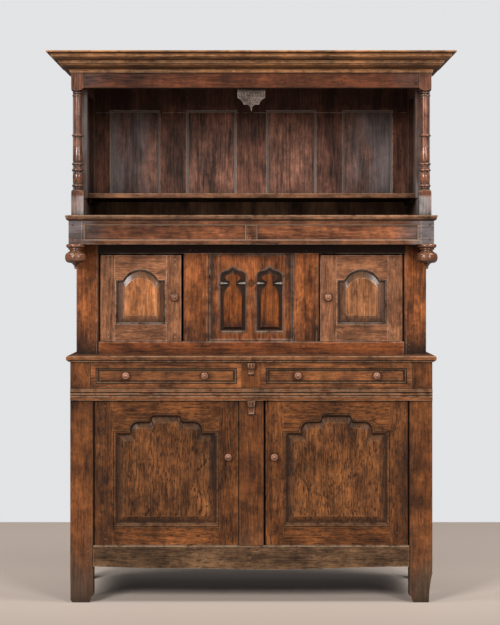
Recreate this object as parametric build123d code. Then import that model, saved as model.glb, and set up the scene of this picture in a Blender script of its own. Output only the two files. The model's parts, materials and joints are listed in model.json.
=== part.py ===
from build123d import *
import math
import os

# An oak court cupboard in three stages, joined with mortised frames and fielded panels:
# a base with two doors under two drawers, a set-back middle stage with two doors either side
# of a fixed arched panel, under an overhanging frieze with turned drops, and an open top stage
# with turned columns, a plate shelf, panelled back and sides, and a deep moulded cornice.
# X runs to the right, the front faces -Y, Z is up, the feet stand on Z = 0.

# ---------------------------------------------------------------- driving sizes, millimetres
# stages: overall widths, depths from the back, and heights of each band
base_width = 1298
base_depth = 520
mid_width = 1274
mid_depth = 415
canopy_width = 1311
canopy_depth = 518
top_width = 1294
top_depth = 508

foot_height = 124
bottom_rail_height = 80
lower_opening_height = 520
mid_rail_height = 41.5
drawer_opening_height = 96.5
base_board_thickness = 21.5
mid_bottom_rail_height = 46.5
upper_opening_height = 321
mid_top_rail_height = 32.8
frieze_height = 84.2
canopy_board_thickness = 19.7
column_height = 512.9
cornice_height = 70
cornice_projection = 82

# general joinery
rail_thickness = 28
side_rail_thickness = 24
side_set_in = 3
board_thickness = 12
groove_depth = 7
groove_clearance = 0.3
flush_gap = 0.3
door_gap = 1.5
right_free_gap = 6
upper_left_free_gap = 8
upper_right_free_gap = 3
upper_head_gap = 6

# base frame
front_stile_width = 83
front_stile_depth = 50
back_stile_width = 40
back_stile_depth = 45
stile_bead_width = 12
stile_bead_depth = 5
rail_bead = 4
rail_rise = 4.5
rail_sag = 6
foot_wear = 3
foot_taper = 12
foot_taper_height = 105
foot_corner = 8
foot_bevel = 15
centre_stile_width = 92
centre_bead_width = 6
drawer_muntin_width = 67
drawer_lip = 11
side_muntin_width = 62
back_rail_thickness = 25
back_rail_height = 80
back_board_count = 5
floor_board_thickness = 16
floor_drop = 4
floor_board_count = 3
bearer_width = 50
bearer_height = 20
base_board_overhang = 14
base_moulding_proud = 8

# doors
lower_door_thickness = 24
upper_door_thickness = 22
door_recess = 3
lower_hinge_stile = 68.5
lower_meeting_stile = 68
lower_bottom_rail = 64
lower_shoulder_rise = 409
lower_second_rise = 448.5
lower_crown_rise = 473
lower_lobe_share = 0.715
lower_ledge_share = 0.552
lower_rise_share = 0.375
lower_top_share = 0.232
upper_hinge_stile = 56.5
upper_meeting_reach = 61
upper_joint_margin = 4.5
upper_bottom_rail = 62
upper_shoulder_rise = 222.5
upper_crown_rise = 262.3
upper_spring_share = 0.716
pin_radius = 4
pin_length = 24
pin_setback = 9
pin_clearance = 0.05
knob_radius = 12.5
knob_length = 22
spindle_radius = 5
spindle_clearance = 0.05
catch_reach = 50
catch_heel = 11
catch_width = 18
catch_thickness = 10
catch_standoff = 0.5
lower_knob_inset = 35
upper_knob_inset = 31.5
lower_knob_height = 520
upper_knob_height = 1091
moulding_quirk = 3
shoulder_follow = 0.95
lower_moulding_width = 15
lower_moulding_depth = 7
upper_moulding_width = 6
upper_moulding_depth = 6
field_step = 2
lower_field_inset = 38
upper_field_inset = 32

# drawers
drawer_front_thickness = 22
drawer_front_recess = 1
drawer_side_thickness = 12
drawer_side_height = 84
drawer_tail_clearance = 22
drawer_bottom_thickness = 8
drawer_bottom_rise = 8
drawer_border_outer = 17
drawer_border_inner = 16.5
drawer_border_foot = 16
drawer_border_head = 20
drawer_band_side = 15
drawer_band_level = 13
drawer_band_depth = 5
drawer_quirk = 3.5
drawer_bead = 4
drawer_knob_inset = 114
runner_height = 24
runner_overlap = 21
guide_height = 20
slide_clearance = 0.3
guide_clearance = 1

# middle stage
mid_stile_width = 81
mid_stile_depth = 45
mid_stile_bead = 8
post_width = 94
post_bead = 10
post_inner_half = 154
mid_back_stile_width = 46
centre_frame_thickness = 24
centre_frame_recess = 4
arch_half_gap = 14
arch_half_width = 45
arch_margin = 8
arch_foot_rise = 40
arch_cusp_rise = 212
arch_widest_rise = 238
arch_crown_rise = 269
neck_half = 17
cusp_radius = 4
border_outer = 2
border_inner = 11
border_depth = 3

# canopy frieze
corner_block = 47
frieze_side_thickness = 32
frieze_lower_rail = 16.5
frieze_upper_rail = 16.5
frieze_muntin_width = 43
frieze_end_width = 12
frieze_muntin_edge = 8
frieze_panel_recess = 7
frieze_edge = 4
soffit_thickness = 16
canopy_overhang = 11.5

# open top stage
column_block = 44
column_lower_block = 94
column_upper_block = 68
top_frieze_height = 55.6
top_frieze_thickness = 26
top_frieze_setback = 4
top_bottom_rail_height = 65.3
side_stile_setback = 60
side_stile_width = 50
side_stile_depth = 45
side_back_stile_depth = 45
back_frame_thickness = 24
back_end_stile_width = 110
back_top_rail_height = 102
back_bottom_rail_height = 74
back_centre_muntin = 134
back_muntin_width = 120
back_moulding = 9
shelf_thickness = 18
cleat_width = 14
cleat_height = 14
cleat_setback = 70
roof_thickness = 12
cornice_seat = 20
plaque_width = 99
plaque_drop = 57
plaque_tip = 24
plaque_thickness = 12
plaque_lap = 30

# turned drops under the canopy corners
drop_bulb_radius = 38.5
drop_flange_radius = 34

# fielded panels
panel_edge_thickness = 6
panel_field_thickness = 12
panel_field_margin = 4
panel_bevel = 26

# ---------------------------------------------------------------- levels and planes
top_half = top_width / 2
base_half = base_width / 2
mid_half = mid_width / 2
canopy_half = canopy_width / 2

bottom_rail_top = foot_height + bottom_rail_height
mid_rail_bottom = bottom_rail_top + lower_opening_height
drawer_floor = mid_rail_bottom + mid_rail_height
base_top = drawer_floor + drawer_opening_height
mid_floor = base_top + base_board_thickness
upper_opening_bottom = mid_floor + mid_bottom_rail_height
upper_opening_top = upper_opening_bottom + upper_opening_height
mid_top = upper_opening_top + mid_top_rail_height
frieze_top = mid_top + frieze_height
stage_floor = frieze_top + canopy_board_thickness
column_top = stage_floor + column_height
overall_height = column_top + cornice_height

overall_depth = top_depth + cornice_projection
back_y = overall_depth / 2
base_front = back_y - base_depth
mid_front = back_y - mid_depth
canopy_front = back_y - canopy_depth
top_front = back_y - top_depth

stile_inner = base_half - front_stile_width
centre_half = centre_stile_width / 2
lower_door_front = base_front + door_recess
upper_door_front = mid_front + door_recess
mid_stile_inner = mid_half - mid_stile_width
post_outer = post_inner_half + post_width
side_rail_outer = base_half - side_set_in
side_rail_inner = side_rail_outer - side_rail_thickness
frame_back = back_y - board_thickness


# ---------------------------------------------------------------- small helpers
def block(x0, x1, y0, y1, z0, z1):
    """A squared board between two opposite corners."""
    centre = Pos((x0 + x1) / 2, (y0 + y1) / 2, (z0 + z1) / 2)
    return centre * Box(abs(x1 - x0), abs(y1 - y0), abs(z1 - z0))


def both(solid):
    """A right-hand piece and its left-hand mirror image."""
    return [solid, mirror(solid, about=Plane.YZ)]


def outline(points):
    """A face from (x, y, bulge) corners; bulge bows the edge that leaves the corner."""
    edges = []
    for index, (x, y, bulge) in enumerate(points):
        end_x, end_y, _ = points[(index + 1) % len(points)]
        if bulge:
            edges.append(SagittaArc((x, y), (end_x, end_y), bulge))
        else:
            edges.append(Line((x, y), (end_x, end_y)))
    return make_face(edges)


def symmetric(centre, half, crown_bulge=0):
    """Close the right half of an outline, listed upwards, with its mirror image about x = centre."""
    right = [(centre + x, y, bulge) for x, y, bulge in half[:-1]]
    last_x, last_y, _ = half[-1]
    right.append((centre + last_x, last_y, crown_bulge))
    left = []
    if last_x > 0:
        left.append((centre - last_x, last_y, half[-2][2]))
    else:
        right[-1] = (centre, last_y, half[-2][2])
    for index in range(len(half) - 2, -1, -1):
        x, y, _ = half[index]
        bulge = half[index - 1][2] if index > 0 else 0
        left.append((centre - x, y, bulge))
    return outline(right + left)


def thicken(plane, face, amount):
    """Extrude a face drawn on a plane along the plane's own normal."""
    return extrude(plane * face, amount, dir=plane.z_dir)


def front_plane(y):
    """A drawing plane that faces the front at depth y: its x is X and its y is Z."""
    return Plane(origin=(0, y, 0), x_dir=(1, 0, 0), z_dir=(0, -1, 0))


def slab(face, y_front, thickness):
    """A face drawn in X and Z, made as thick as said behind y_front."""
    return thicken(front_plane(y_front + thickness), face, thickness)


def flare(face_back, y_deep, face_front, y_near):
    """A solid with straight sloping sides between two outlines at two depths."""
    return loft([front_plane(y_deep) * face_back, front_plane(y_near) * face_front], ruled=True)


def run_along_x(profile, y_plane, z_base, x0, x1):
    """A moulding run: profile x is how far it stands before y_plane, profile y its height."""
    plane = Plane(origin=(x1, y_plane, z_base), x_dir=(0, -1, 0), z_dir=(-1, 0, 0))
    return thicken(plane, profile, x1 - x0)


def run_along_y(profile, x_plane, z_base, y0, y1):
    """The same moulding on the right-hand side: profile x stands out from x_plane."""
    plane = Plane(origin=(x_plane, y1, z_base), x_dir=(1, 0, 0), z_dir=(0, -1, 0))
    return thicken(plane, profile, y1 - y0)


def mitred_moulding(profile, half, y_front, z_base, height, reach, seat):
    """A moulding round the front and both sides, cut at 45 degrees where the runs meet."""
    far = half + reach
    near = half - seat
    front_cut = Polyline((-far, y_front - reach), (far, y_front - reach), (near, y_front + seat),
                         (-near, y_front + seat), close=True)
    side_cut = Polyline((far, y_front - reach), (far, back_y), (near, back_y),
                        (near, y_front + seat), close=True)
    front = run_along_x(profile, y_front, z_base, -far, far)
    side = run_along_y(profile, half, z_base, y_front - reach, back_y)
    level = Plane.XY.offset(z_base)
    front = front & thicken(level, make_face(front_cut), height)
    side = side & thicken(level, make_face(side_cut), height)
    return [front] + both(side)


def turned(members, base_radius=0):
    """A spindle turned about Z from (height, lower radius, upper radius, bulge) members."""
    edges = []
    z = 0
    radius = base_radius
    for height, lower, upper, bulge in members:
        if abs(lower - radius) > 1e-6:
            edges.append(Line((radius, z), (lower, z)))
        if bulge:
            edges.append(SagittaArc((lower, z), (upper, z + height), -bulge))
        else:
            edges.append(Line((lower, z), (upper, z + height)))
        z += height
        radius = upper
    if radius > 1e-6:
        edges.append(Line((radius, z), (0, z)))
    edges.append(Line((0, z), (0, 0)))
    if base_radius > 1e-6:
        edges.append(Line((0, 0), (base_radius, 0)))
    return revolve(Plane.XZ * make_face(edges), Axis.Z)


def fielded_panel(width, height, bevel=panel_bevel):
    """A panel drawn flat: thin edges for the grooves and a raised field on the +Z side."""
    edge = Pos(0, 0, panel_edge_thickness / 2) * Box(
        width + 2 * (groove_depth - groove_clearance),
        height + 2 * (groove_depth - groove_clearance), panel_edge_thickness)
    slope = min(bevel, width / 4, height / 4)
    foot = Rectangle(width - 2 * panel_field_margin, height - 2 * panel_field_margin)
    crown = Rectangle(width - 2 * (panel_field_margin + slope),
                      height - 2 * (panel_field_margin + slope))
    field = loft([Pos(0, 0, panel_edge_thickness) * foot, Pos(0, 0, panel_field_thickness) * crown],
                 ruled=True)
    return edge + field


def side_panel(x_back, y_centre, z_centre, width, height):
    """A fielded panel set in the right-hand side, its thin edge from x_back outwards."""
    plane = Plane(origin=(x_back, y_centre, z_centre), x_dir=(0, 1, 0), z_dir=(1, 0, 0))
    return plane * fielded_panel(width, height)


def panel_groove(x_back, y0, y1, z0, z1):
    """The groove that takes a side panel's thin edge all round."""
    clear = groove_clearance / 2
    return block(x_back - clear, x_back + panel_edge_thickness + clear,
                 y0 - groove_depth, y1 + groove_depth, z0 - groove_depth, z1 + groove_depth)


def beaded_upright(x0, x1, y_front, thickness, z0, z1, bead_left, bead_right, bead_depth):
    """An upright whose front corners are run with a quarter-round of the widths given."""
    corners = [(x0, y_front + thickness, 0), (x1, y_front + thickness, 0)]
    if bead_right:
        corners += [(x1, y_front + bead_depth, bead_right / 5), (x1 - bead_right, y_front + 1, 0)]
        corners += [(x1 - bead_right, y_front, 0)]
    else:
        corners += [(x1, y_front, 0)]
    if bead_left:
        corners += [(x0 + bead_left, y_front, 0), (x0 + bead_left, y_front + 1, bead_left / 5)]
        corners += [(x0, y_front + bead_depth, 0)]
    else:
        corners += [(x0, y_front, 0)]
    return thicken(Plane.XY.offset(z0), outline(corners), z1 - z0)


def beaded_rail(x0, x1, y_front, thickness, z0, z1, top_bead=0, bottom_bead=0):
    """A cross rail with its front arrises run with a small quarter-round."""
    height = z1 - z0
    corners = [(-thickness, 0, 0)]
    if bottom_bead:
        corners += [(-bottom_bead, 0, -bottom_bead / 5), (0, bottom_bead, 0)]
    else:
        corners += [(0, 0, 0)]
    if top_bead:
        corners += [(0, height - top_bead, -top_bead / 5), (-top_bead, height, 0)]
    else:
        corners += [(0, height, 0)]
    corners += [(-thickness, height, 0)]
    return run_along_x(outline(corners), y_front, z0, x0, x1)


def bore_z(x, y, z0, z1, radius):
    """A round hole or pin along Z."""
    return Pos(x, y, (z0 + z1) / 2) * Cylinder(radius, z1 - z0)


def bore_y(x, z, y0, y1, radius):
    """A round hole or pin along Y."""
    return Pos(x, (y0 + y1) / 2, z) * Rot(90, 0, 0) * Cylinder(radius, y1 - y0)


def vertical_boards(x_half, y0, y1, z0, z1, count):
    """Upright boards side by side across the back."""
    width = 2 * x_half / count
    return [block(-x_half + width * i, -x_half + width * (i + 1), y0, y1, z0, z1)
            for i in range(count)]


nodes = {}


def node(name, *solids):
    """Keep the solids of one named piece, or of one set of like pieces."""
    flat = []
    for item in solids:
        flat += item if isinstance(item, list) else [item]
    nodes[name] = Compound(children=[part for solid in flat for part in solid.solids()])


# ---------------------------------------------------------------- base: frame
stile = beaded_upright(stile_inner, base_half, base_front, front_stile_depth, 0, base_top,
                       stile_bead_width, 0, stile_bead_depth)
lip_depth = drawer_front_recess + drawer_front_thickness + slide_clearance
stile -= block(stile_inner - 1, stile_inner + drawer_lip, base_front - 1, base_front + lip_depth,
               drawer_floor, base_top + 1)

side_y0 = base_front + front_stile_depth
side_y1 = back_y - back_stile_depth
side_mid = (side_y0 + side_y1) / 2
side_muntin_half = side_muntin_width / 2
panel_back_x = side_rail_inner + (side_rail_thickness - panel_edge_thickness) / 2
side_fields = [(side_y0, side_mid - side_muntin_half), (side_mid + side_muntin_half, side_y1)]
side_grooves = [panel_groove(panel_back_x, y0, y1, bottom_rail_top, mid_rail_bottom)
                for y0, y1 in side_fields]
back_stile = block(base_half - back_stile_width, base_half, side_y1, back_y, 0, base_top)
side_bottom = block(side_rail_inner, side_rail_outer, side_y0, side_y1, foot_height,
                    bottom_rail_top)
side_top = block(side_rail_inner, side_rail_outer, side_y0, side_y1, mid_rail_bottom, base_top)
side_muntin = block(side_rail_inner, side_rail_outer, side_mid - side_muntin_half,
                    side_mid + side_muntin_half, bottom_rail_top, mid_rail_bottom)
for groove in side_grooves:
    stile -= groove
    back_stile -= groove
    side_bottom -= groove
    side_top -= groove
    side_muntin -= groove


def worn_foot(upright, taper, taper_height, inner_bevel, outer_bevel):
    """Wear of a right-hand foot: its outer side drawn in and its lower corners knocked off."""
    waste = outline([(base_half + 1, 0, 0), (base_half + 1, taper_height, 0),
                     (base_half, taper_height, -taper / 4), (base_half - taper, outer_bevel, 0),
                     (base_half - taper - outer_bevel, 0, 0)])
    upright -= slab(waste, base_front - 1, front_stile_depth + 2)
    corner = outline([(stile_inner - 1, -1, 0), (stile_inner + inner_bevel, -1, 0),
                      (stile_inner + inner_bevel * 0.9, 0.5, -inner_bevel / 5),
                      (stile_inner, inner_bevel * 1.7, 0), (stile_inner - 1, inner_bevel * 1.7, 0)])
    return upright - slab(corner, base_front - 1, front_stile_depth + 2)


left_stile = mirror(worn_foot(stile, foot_wear / 4, foot_taper_height, foot_bevel, foot_corner),
                    about=Plane.YZ)
right_stile = worn_foot(stile, foot_taper, foot_taper_height, foot_bevel, foot_wear)
node("base_front_stiles", left_stile, right_stile)

back_inner = base_half - back_stile_width
back_rail_front = frame_back - back_rail_thickness
back_bottom_rail = block(-back_inner, back_inner, back_rail_front, frame_back, foot_height,
                         foot_height + back_rail_height)
back_top_rail = block(-back_inner, back_inner, back_rail_front, frame_back, mid_rail_bottom,
                      base_top)
node("base_back_frame", both(back_stile), back_bottom_rail, back_top_rail)
node("base_side_frames", both(side_bottom), both(side_top), both(side_muntin))
side_panels = []
for y0, y1 in side_fields:
    side_panels += both(side_panel(panel_back_x, (y0 + y1) / 2,
                                   (bottom_rail_top + mid_rail_bottom) / 2, y1 - y0,
                                   lower_opening_height))
node("base_side_panels", side_panels)
node("base_back_boards", vertical_boards(back_inner, frame_back, back_y, foot_height + rail_bead,
                                         base_top, back_board_count))

# bottom rail, with the shallow hand-cut wave of its lower edge
wave = stile_inner / 2
bottom_rail = slab(outline([(-stile_inner, foot_height + rail_rise, -1),
                            (-wave, foot_height - rail_sag * 0.4, 1.5),
                            (0, foot_height - rail_sag, -1.5),
                            (wave, foot_height - rail_sag * 0.4, 1),
                            (stile_inner, foot_height + rail_rise, 0),
                            (stile_inner, bottom_rail_top, 0),
                            (-stile_inner, bottom_rail_top, 0)]), base_front, rail_thickness)
rail_arris = run_along_x(outline([(-rail_bead, 0, 0), (0, -rail_bead, 0), (1, 1, 0)]),
                         base_front, bottom_rail_top, -stile_inner, stile_inner)
bottom_rail -= rail_arris

mid_rail = block(-stile_inner, stile_inner, base_front, base_front + rail_thickness,
                 mid_rail_bottom, drawer_floor)

hinge_x = stile_inner - door_gap - pin_setback
hinge_y = lower_door_front + pin_setback
pin_half = pin_length / 2
lower_pins = []
for x in (-hinge_x, hinge_x):
    low = bore_z(x, hinge_y, bottom_rail_top - pin_half, bottom_rail_top + pin_half, pin_radius)
    high = bore_z(x, hinge_y, mid_rail_bottom - pin_half, mid_rail_bottom + pin_half, pin_radius)
    bottom_rail -= low
    mid_rail -= high
    lower_pins += [low, high]
node("base_front_rails", bottom_rail, mid_rail)
node("lower_hinge_pins", lower_pins)

# moulding planted along the mid rail: band, reed, groove, reed, band
band = mid_rail_height / 5
reeds = outline([(0, 0, 0), (base_moulding_proud, 0, 0), (base_moulding_proud, band * 1.6, 0),
                 (base_moulding_proud - 3, band * 1.8, 0), (base_moulding_proud - 3, band * 2, -2.4),
                 (base_moulding_proud - 3, band * 3, 0), (base_moulding_proud - 5, band * 3.2, 0),
                 (base_moulding_proud - 3, band * 3.4, -2.4), (base_moulding_proud - 3, band * 4.3, 0),
                 (base_moulding_proud - 1.5, band * 4.5, 0), (base_moulding_proud - 1.5, band * 5, 0),
                 (0, band * 5, 0)])
node("base_moulding", run_along_x(reeds, base_front, mid_rail_bottom, -base_half, base_half))

node("base_centre_stile", beaded_upright(-centre_half, centre_half, base_front, rail_thickness,
                                         bottom_rail_top, mid_rail_bottom, centre_bead_width,
                                         centre_bead_width, stile_bead_depth))
muntin_half = drawer_muntin_width / 2
node("drawer_muntin", block(-muntin_half, muntin_half, base_front, base_front + rail_thickness,
                            drawer_floor, base_top))

# floor boards on bearers, notched round the stiles
floor_top = bottom_rail_top - floor_drop
floor_y0 = base_front + rail_thickness
board_run = (back_rail_front - floor_y0) / floor_board_count
floor_boards = []
for i in range(floor_board_count):
    board = block(-side_rail_inner, side_rail_inner, floor_y0 + board_run * i,
                  floor_y0 + board_run * (i + 1), floor_top - floor_board_thickness, floor_top)
    for corner in both(block(stile_inner - door_gap, base_half, base_front, side_y0 + door_gap,
                             0, base_top)):
        board -= corner
    for corner in both(block(back_inner - door_gap, base_half, side_y1 - door_gap, back_y,
                             0, base_top)):
        board -= corner
    floor_boards.append(board)
bearer_top = floor_top - floor_board_thickness
bearers = [block(x - bearer_width / 2, x + bearer_width / 2, floor_y0, back_rail_front,
                 bearer_top - bearer_height, bearer_top)
           for x in (-stile_inner * 0.8, 0, stile_inner * 0.8)]
node("base_floor_boards", floor_boards, bearers)

# runners and guides for the drawers
runner_inner = stile_inner - runner_overlap
outer_runner = block(runner_inner, side_rail_inner, side_y0, side_y1,
                     drawer_floor - runner_height, drawer_floor)
drawer_outer = stile_inner - door_gap
outer_guide = block(drawer_outer + guide_clearance, side_rail_inner, side_y0, side_y1,
                    drawer_floor, drawer_floor + guide_height)
centre_runner = block(-centre_half, centre_half, base_front + rail_thickness, back_rail_front,
                      drawer_floor - runner_height, drawer_floor)
drawer_inner = muntin_half + door_gap
centre_guide = block(-drawer_inner + guide_clearance, drawer_inner - guide_clearance,
                     base_front + rail_thickness, back_rail_front, drawer_floor,
                     drawer_floor + guide_height)
node("drawer_runners", both(outer_runner), centre_runner, both(outer_guide), centre_guide)

# top board of the base with a thumb-moulded edge
thumb = outline([(-front_stile_depth, 0, 0), (base_board_overhang / 2, 0, 0),
                 (base_board_overhang / 2, 3, 0), (base_board_overhang - 3, 5, -1.5),
                 (base_board_overhang, 11, 0), (base_board_overhang, 15, -2),
                 (base_board_overhang - 6, base_board_thickness, 0),
                 (-front_stile_depth, base_board_thickness, 0)])
board_edges = mitred_moulding(thumb, base_half, base_front, base_top, base_board_thickness,
                              base_board_overhang, front_stile_depth)
board_core = block(-base_half + front_stile_depth, base_half - front_stile_depth,
                   base_front + front_stile_depth, back_y, base_top, mid_floor)
base_board = board_core
for edge in board_edges:
    base_board += edge
node("base_top_board", base_board)


# carved corbels on the muntin and the centre stile
def corbel(z_top, height, head_width, foot_width, reach, belly):
    """A small scrolled bracket that narrows downwards, with two flutes cut down its face.

    belly is how far down the bracket, as a share of its height, the upper scroll ends.
    """
    side = outline([(0, 0, 0), (0, -height, 0), (reach * 0.3, -height, 0),
                    (reach * 0.75, -height * 0.88, 1.2), (reach * 0.4, -height * 0.72, 1.5),
                    (reach * 0.7, -height * belly, -2), (reach, -height * 0.1, 0),
                    (reach, 0, 0)])
    bracket = run_along_x(side, base_front, z_top, -head_width / 2, head_width / 2)
    slope = (head_width - foot_width) / 2
    for way in (-1, 1):
        waste = outline([(way * head_width, z_top + 1, 0), (way * head_width / 2, z_top + 1, 0),
                         (way * (head_width / 2 - slope), z_top - height - 1, 0),
                         (way * head_width, z_top - height - 1, 0)])
        bracket -= slab(waste, base_front - 2 * reach, 2 * reach + 1)
    for way in (-1, 1):
        flute_x = way * foot_width / 4
        flute = Pos(flute_x, base_front - reach * 1.05, z_top - height * 0.5)
        bracket -= flute * Cylinder(foot_width / 5, height * 0.84)
    return bracket


node("corbels", corbel(base_top - 5, 43, 27, 18, 12, 0.45),
     corbel(mid_rail_bottom - 2, 52, 27, 18, 13, 0.42))


# ---------------------------------------------------------------- doors
def cut_moulding(leaf, outline_at, y_front, width, depth):
    """Run a moulding round an opening: a quirk at its outer line, then a bead down to the edge.

    outline_at takes the distance outwards from the edge of the opening.
    """
    quirk = moulding_quirk
    leaf -= slab(outline_at(width) - outline_at(width - quirk), y_front - 1, 1 + quirk * 1.3)
    leaf -= slab(outline_at(width - quirk), y_front - 1, 1 + depth * 0.1)
    leaf -= flare(outline_at(width * 0.4), y_front + depth * 0.32, outline_at(width - quirk),
                  y_front + depth * 0.1)
    leaf -= flare(outline_at(0), y_front + depth, outline_at(width * 0.4), y_front + depth * 0.32)
    return leaf


def arched_lower(centre, z_bottom, inset):
    """Outline of a lower door's opening, or of its field when inset is more than 0."""
    opening_half = (stile_inner - centre_half - 2 * door_gap - lower_hinge_stile
                    - lower_meeting_stile) / 2
    half = opening_half - inset
    z0 = z_bottom + lower_bottom_rail + inset
    shoulder = z_bottom + lower_shoulder_rise - inset * shoulder_follow
    second = z_bottom + lower_second_rise - inset * 0.8
    crown = z_bottom + lower_crown_rise - inset * 0.93
    lobe = opening_half * lower_lobe_share - inset * 0.72
    lobe_in = opening_half * lower_ledge_share - inset * 0.42
    rise = opening_half * lower_rise_share - inset * 0.42
    top = opening_half * lower_top_share - inset * 0.2
    middle_x = (rise + top) / 2
    middle_z = (second + crown) / 2
    return symmetric(centre, [(half, z0, 0), (half, shoulder, 0),
                              (lobe, shoulder, 0), (lobe, second - (lobe - lobe_in), -8),
                              (lobe_in, second, 0), (rise, second, 3.6),
                              (middle_x, middle_z, -3.6), (top, crown, 0)])


def arched_upper(centre, z_bottom, inset):
    """Outline of an upper door's opening, or of its field when inset is more than 0."""
    opening_half = (mid_stile_inner - door_gap - upper_hinge_stile
                    - post_outer - upper_meeting_reach) / 2 - upper_joint_margin
    half = opening_half - inset
    z0 = z_bottom + upper_bottom_rail + inset
    shoulder = z_bottom + upper_shoulder_rise - inset * shoulder_follow
    crown = z_bottom + upper_crown_rise - inset
    spring = min(opening_half * upper_spring_share - inset * 0.26, half - 1)
    rise = crown - shoulder
    radius = (spring ** 2 + rise ** 2) / (2 * rise)
    swing = math.asin(min(1, spring / radius)) / 2
    mid_x = radius * math.sin(swing)
    mid_z = crown - radius * (1 - math.cos(swing))
    bow = -radius * (1 - math.cos(swing / 2))
    return symmetric(centre, [(half, z0, 0), (half, shoulder, 0), (spring, shoulder, bow),
                              (mid_x, mid_z, bow), (0, crown, 0)])


def door(x_hinge, x_free, y_front, z0, z1, thickness, hinge_stile, meeting_stile, arch,
         bottom_rail_height, shoulder_rise, edge_width, field_inset, edge_depth):
    """A framed door, hinged at x_hinge: two stiles, two rails and a fielded panel."""
    opening_inset = edge_width
    left, right = min(x_hinge, x_free), max(x_hinge, x_free)
    inward = 1 if x_free > x_hinge else -1
    x_hinge_inner = x_hinge + inward * hinge_stile
    x_free_inner = x_free - inward * meeting_stile
    centre = (x_hinge_inner + x_free_inner) / 2
    opening = arch(centre, z0, opening_inset)
    leaf = block(left, right, y_front, y_front + thickness, z0, z1)
    leaf -= slab(opening, y_front - 1, thickness + 2)
    leaf = cut_moulding(leaf, lambda reach: arch(centre, z0, opening_inset - reach), y_front,
                        edge_width, edge_depth)
    seat_y = y_front + edge_depth + 2
    tongue = arch(centre, z0, opening_inset - groove_depth)
    leaf -= slab(tongue, seat_y, panel_edge_thickness + groove_clearance)
    # the hinge edge is rounded about the pins so that it turns inside its gap
    pivot_x = x_hinge + inward * pin_setback
    pivot_y = y_front + pin_setback
    corner = block(x_hinge, pivot_x, y_front, pivot_y, z0 - 1, z1 + 1)
    corner -= bore_z(pivot_x, pivot_y, z0 - 2, z1 + 2, pin_setback)
    leaf -= corner
    for z_low, z_high in ((z0 - 1, z0 + pin_half + door_gap), (z1 - pin_half - door_gap, z1 + 1)):
        leaf -= bore_z(pivot_x, pivot_y, z_low, z_high, pin_radius + pin_clearance)
    bounds = sorted((x_hinge_inner, x_free_inner))
    deep = (y_front - 5, y_front + thickness + 5)
    low_rail = block(*bounds, *deep, z0 - 5, z0 + bottom_rail_height + opening_inset)
    high_rail = block(*bounds, *deep, z0 + shoulder_rise - opening_inset * shoulder_follow,
                      z1 + 5)
    rails = [leaf & low_rail, leaf & high_rail]
    stiles = [(leaf & block(left - 5, centre, *deep, z0 - 5, z1 + 5)) - low_rail - high_rail,
              (leaf & block(centre, right + 5, *deep, z0 - 5, z1 + 5)) - low_rail - high_rail]
    panel_y = seat_y + groove_clearance / 2
    edge = slab(arch(centre, z0, opening_inset + groove_clearance - groove_depth), panel_y,
                panel_edge_thickness)
    foot = arch(centre, z0, opening_inset + panel_field_margin)
    crown = arch(centre, z0, field_inset)
    rise = panel_y - (y_front + 2)
    field = flare(foot, panel_y, crown, panel_y - rise + field_step)
    field += slab(crown, panel_y - rise, field_step)
    return stiles, rails, edge + field


def catch(x, z, y_front, thickness, behind, toward):
    """A turned knob on a spindle through the door, with a wooden button that turns behind."""
    back = behind + catch_standoff
    stem = y_front - knob_length
    members = [(3, 7, 8.5, 0), (3, 6, 6, 0), (4, 6, knob_radius - 1, -1.2),
               (4, knob_radius - 1, knob_radius, 1), (3.5, knob_radius, 9, 1), (1.5, 6, 5, 0),
               (3, 5, 0.5, 0.8)]
    head = Pos(x, y_front, z) * Rot(90, 0, 0) * turned(members)
    spindle = bore_y(x, z, y_front - 1, back + catch_thickness, spindle_radius)
    knob = head + spindle
    arm = block(x - catch_width / 2, x + catch_width / 2, back, back + catch_thickness,
                z - catch_reach, z + catch_heel)
    tip_edges = arm.edges().filter_by(Axis.Y).sort_by(Axis.Z)[:2]
    arm = fillet(tip_edges, catch_width * 0.3)
    arm -= bore_y(x, z, back - 1, back + catch_thickness + 1, spindle_radius)
    return knob, arm


def make_door(label, side, lower):
    """One door with its panel and catch, as named nodes."""
    if lower:
        free_gap = right_free_gap if side > 0 else door_gap
        x_hinge, x_free = stile_inner - door_gap, centre_half + free_gap
        z0, z1 = bottom_rail_top + door_gap, mid_rail_bottom - door_gap
        y_front, thickness, behind = lower_door_front, lower_door_thickness, base_front + rail_thickness
        sizes = (lower_hinge_stile, lower_meeting_stile - free_gap + door_gap, arched_lower,
                 lower_bottom_rail, lower_shoulder_rise, lower_moulding_width,
                 lower_field_inset, lower_moulding_depth)
        knob_x, knob_z = centre_half + door_gap + lower_knob_inset, lower_knob_height
    else:
        free_gap = upper_right_free_gap if side > 0 else upper_left_free_gap
        x_hinge, x_free = mid_stile_inner - door_gap, post_outer + free_gap
        z0, z1 = upper_opening_bottom + door_gap, upper_opening_top - upper_head_gap
        y_front, thickness, behind = upper_door_front, upper_door_thickness, mid_front + rail_thickness
        sizes = (upper_hinge_stile, upper_meeting_reach - free_gap, arched_upper,
                 upper_bottom_rail, upper_shoulder_rise, upper_moulding_width,
                 upper_field_inset, upper_moulding_depth)
        knob_x, knob_z = post_outer + upper_knob_inset, upper_knob_height
    stiles, rails, panel = door(side * x_hinge, side * x_free, y_front, z0, z1, thickness,
                                *sizes)
    knob, arm = catch(side * knob_x, knob_z, y_front, thickness, behind, side)
    hole = bore_y(side * knob_x, knob_z, y_front - 5, y_front + thickness + 5,
                  spindle_radius + spindle_clearance)
    stiles = [piece - hole for piece in stiles]
    node(label + "_frame", stiles, rails)
    node(label + "_panel", panel)
    node(label + "_catch", knob, arm)


make_door("lower_left_door", -1, True)
make_door("lower_right_door", 1, True)
make_door("upper_left_door", -1, False)
make_door("upper_right_door", 1, False)


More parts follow.
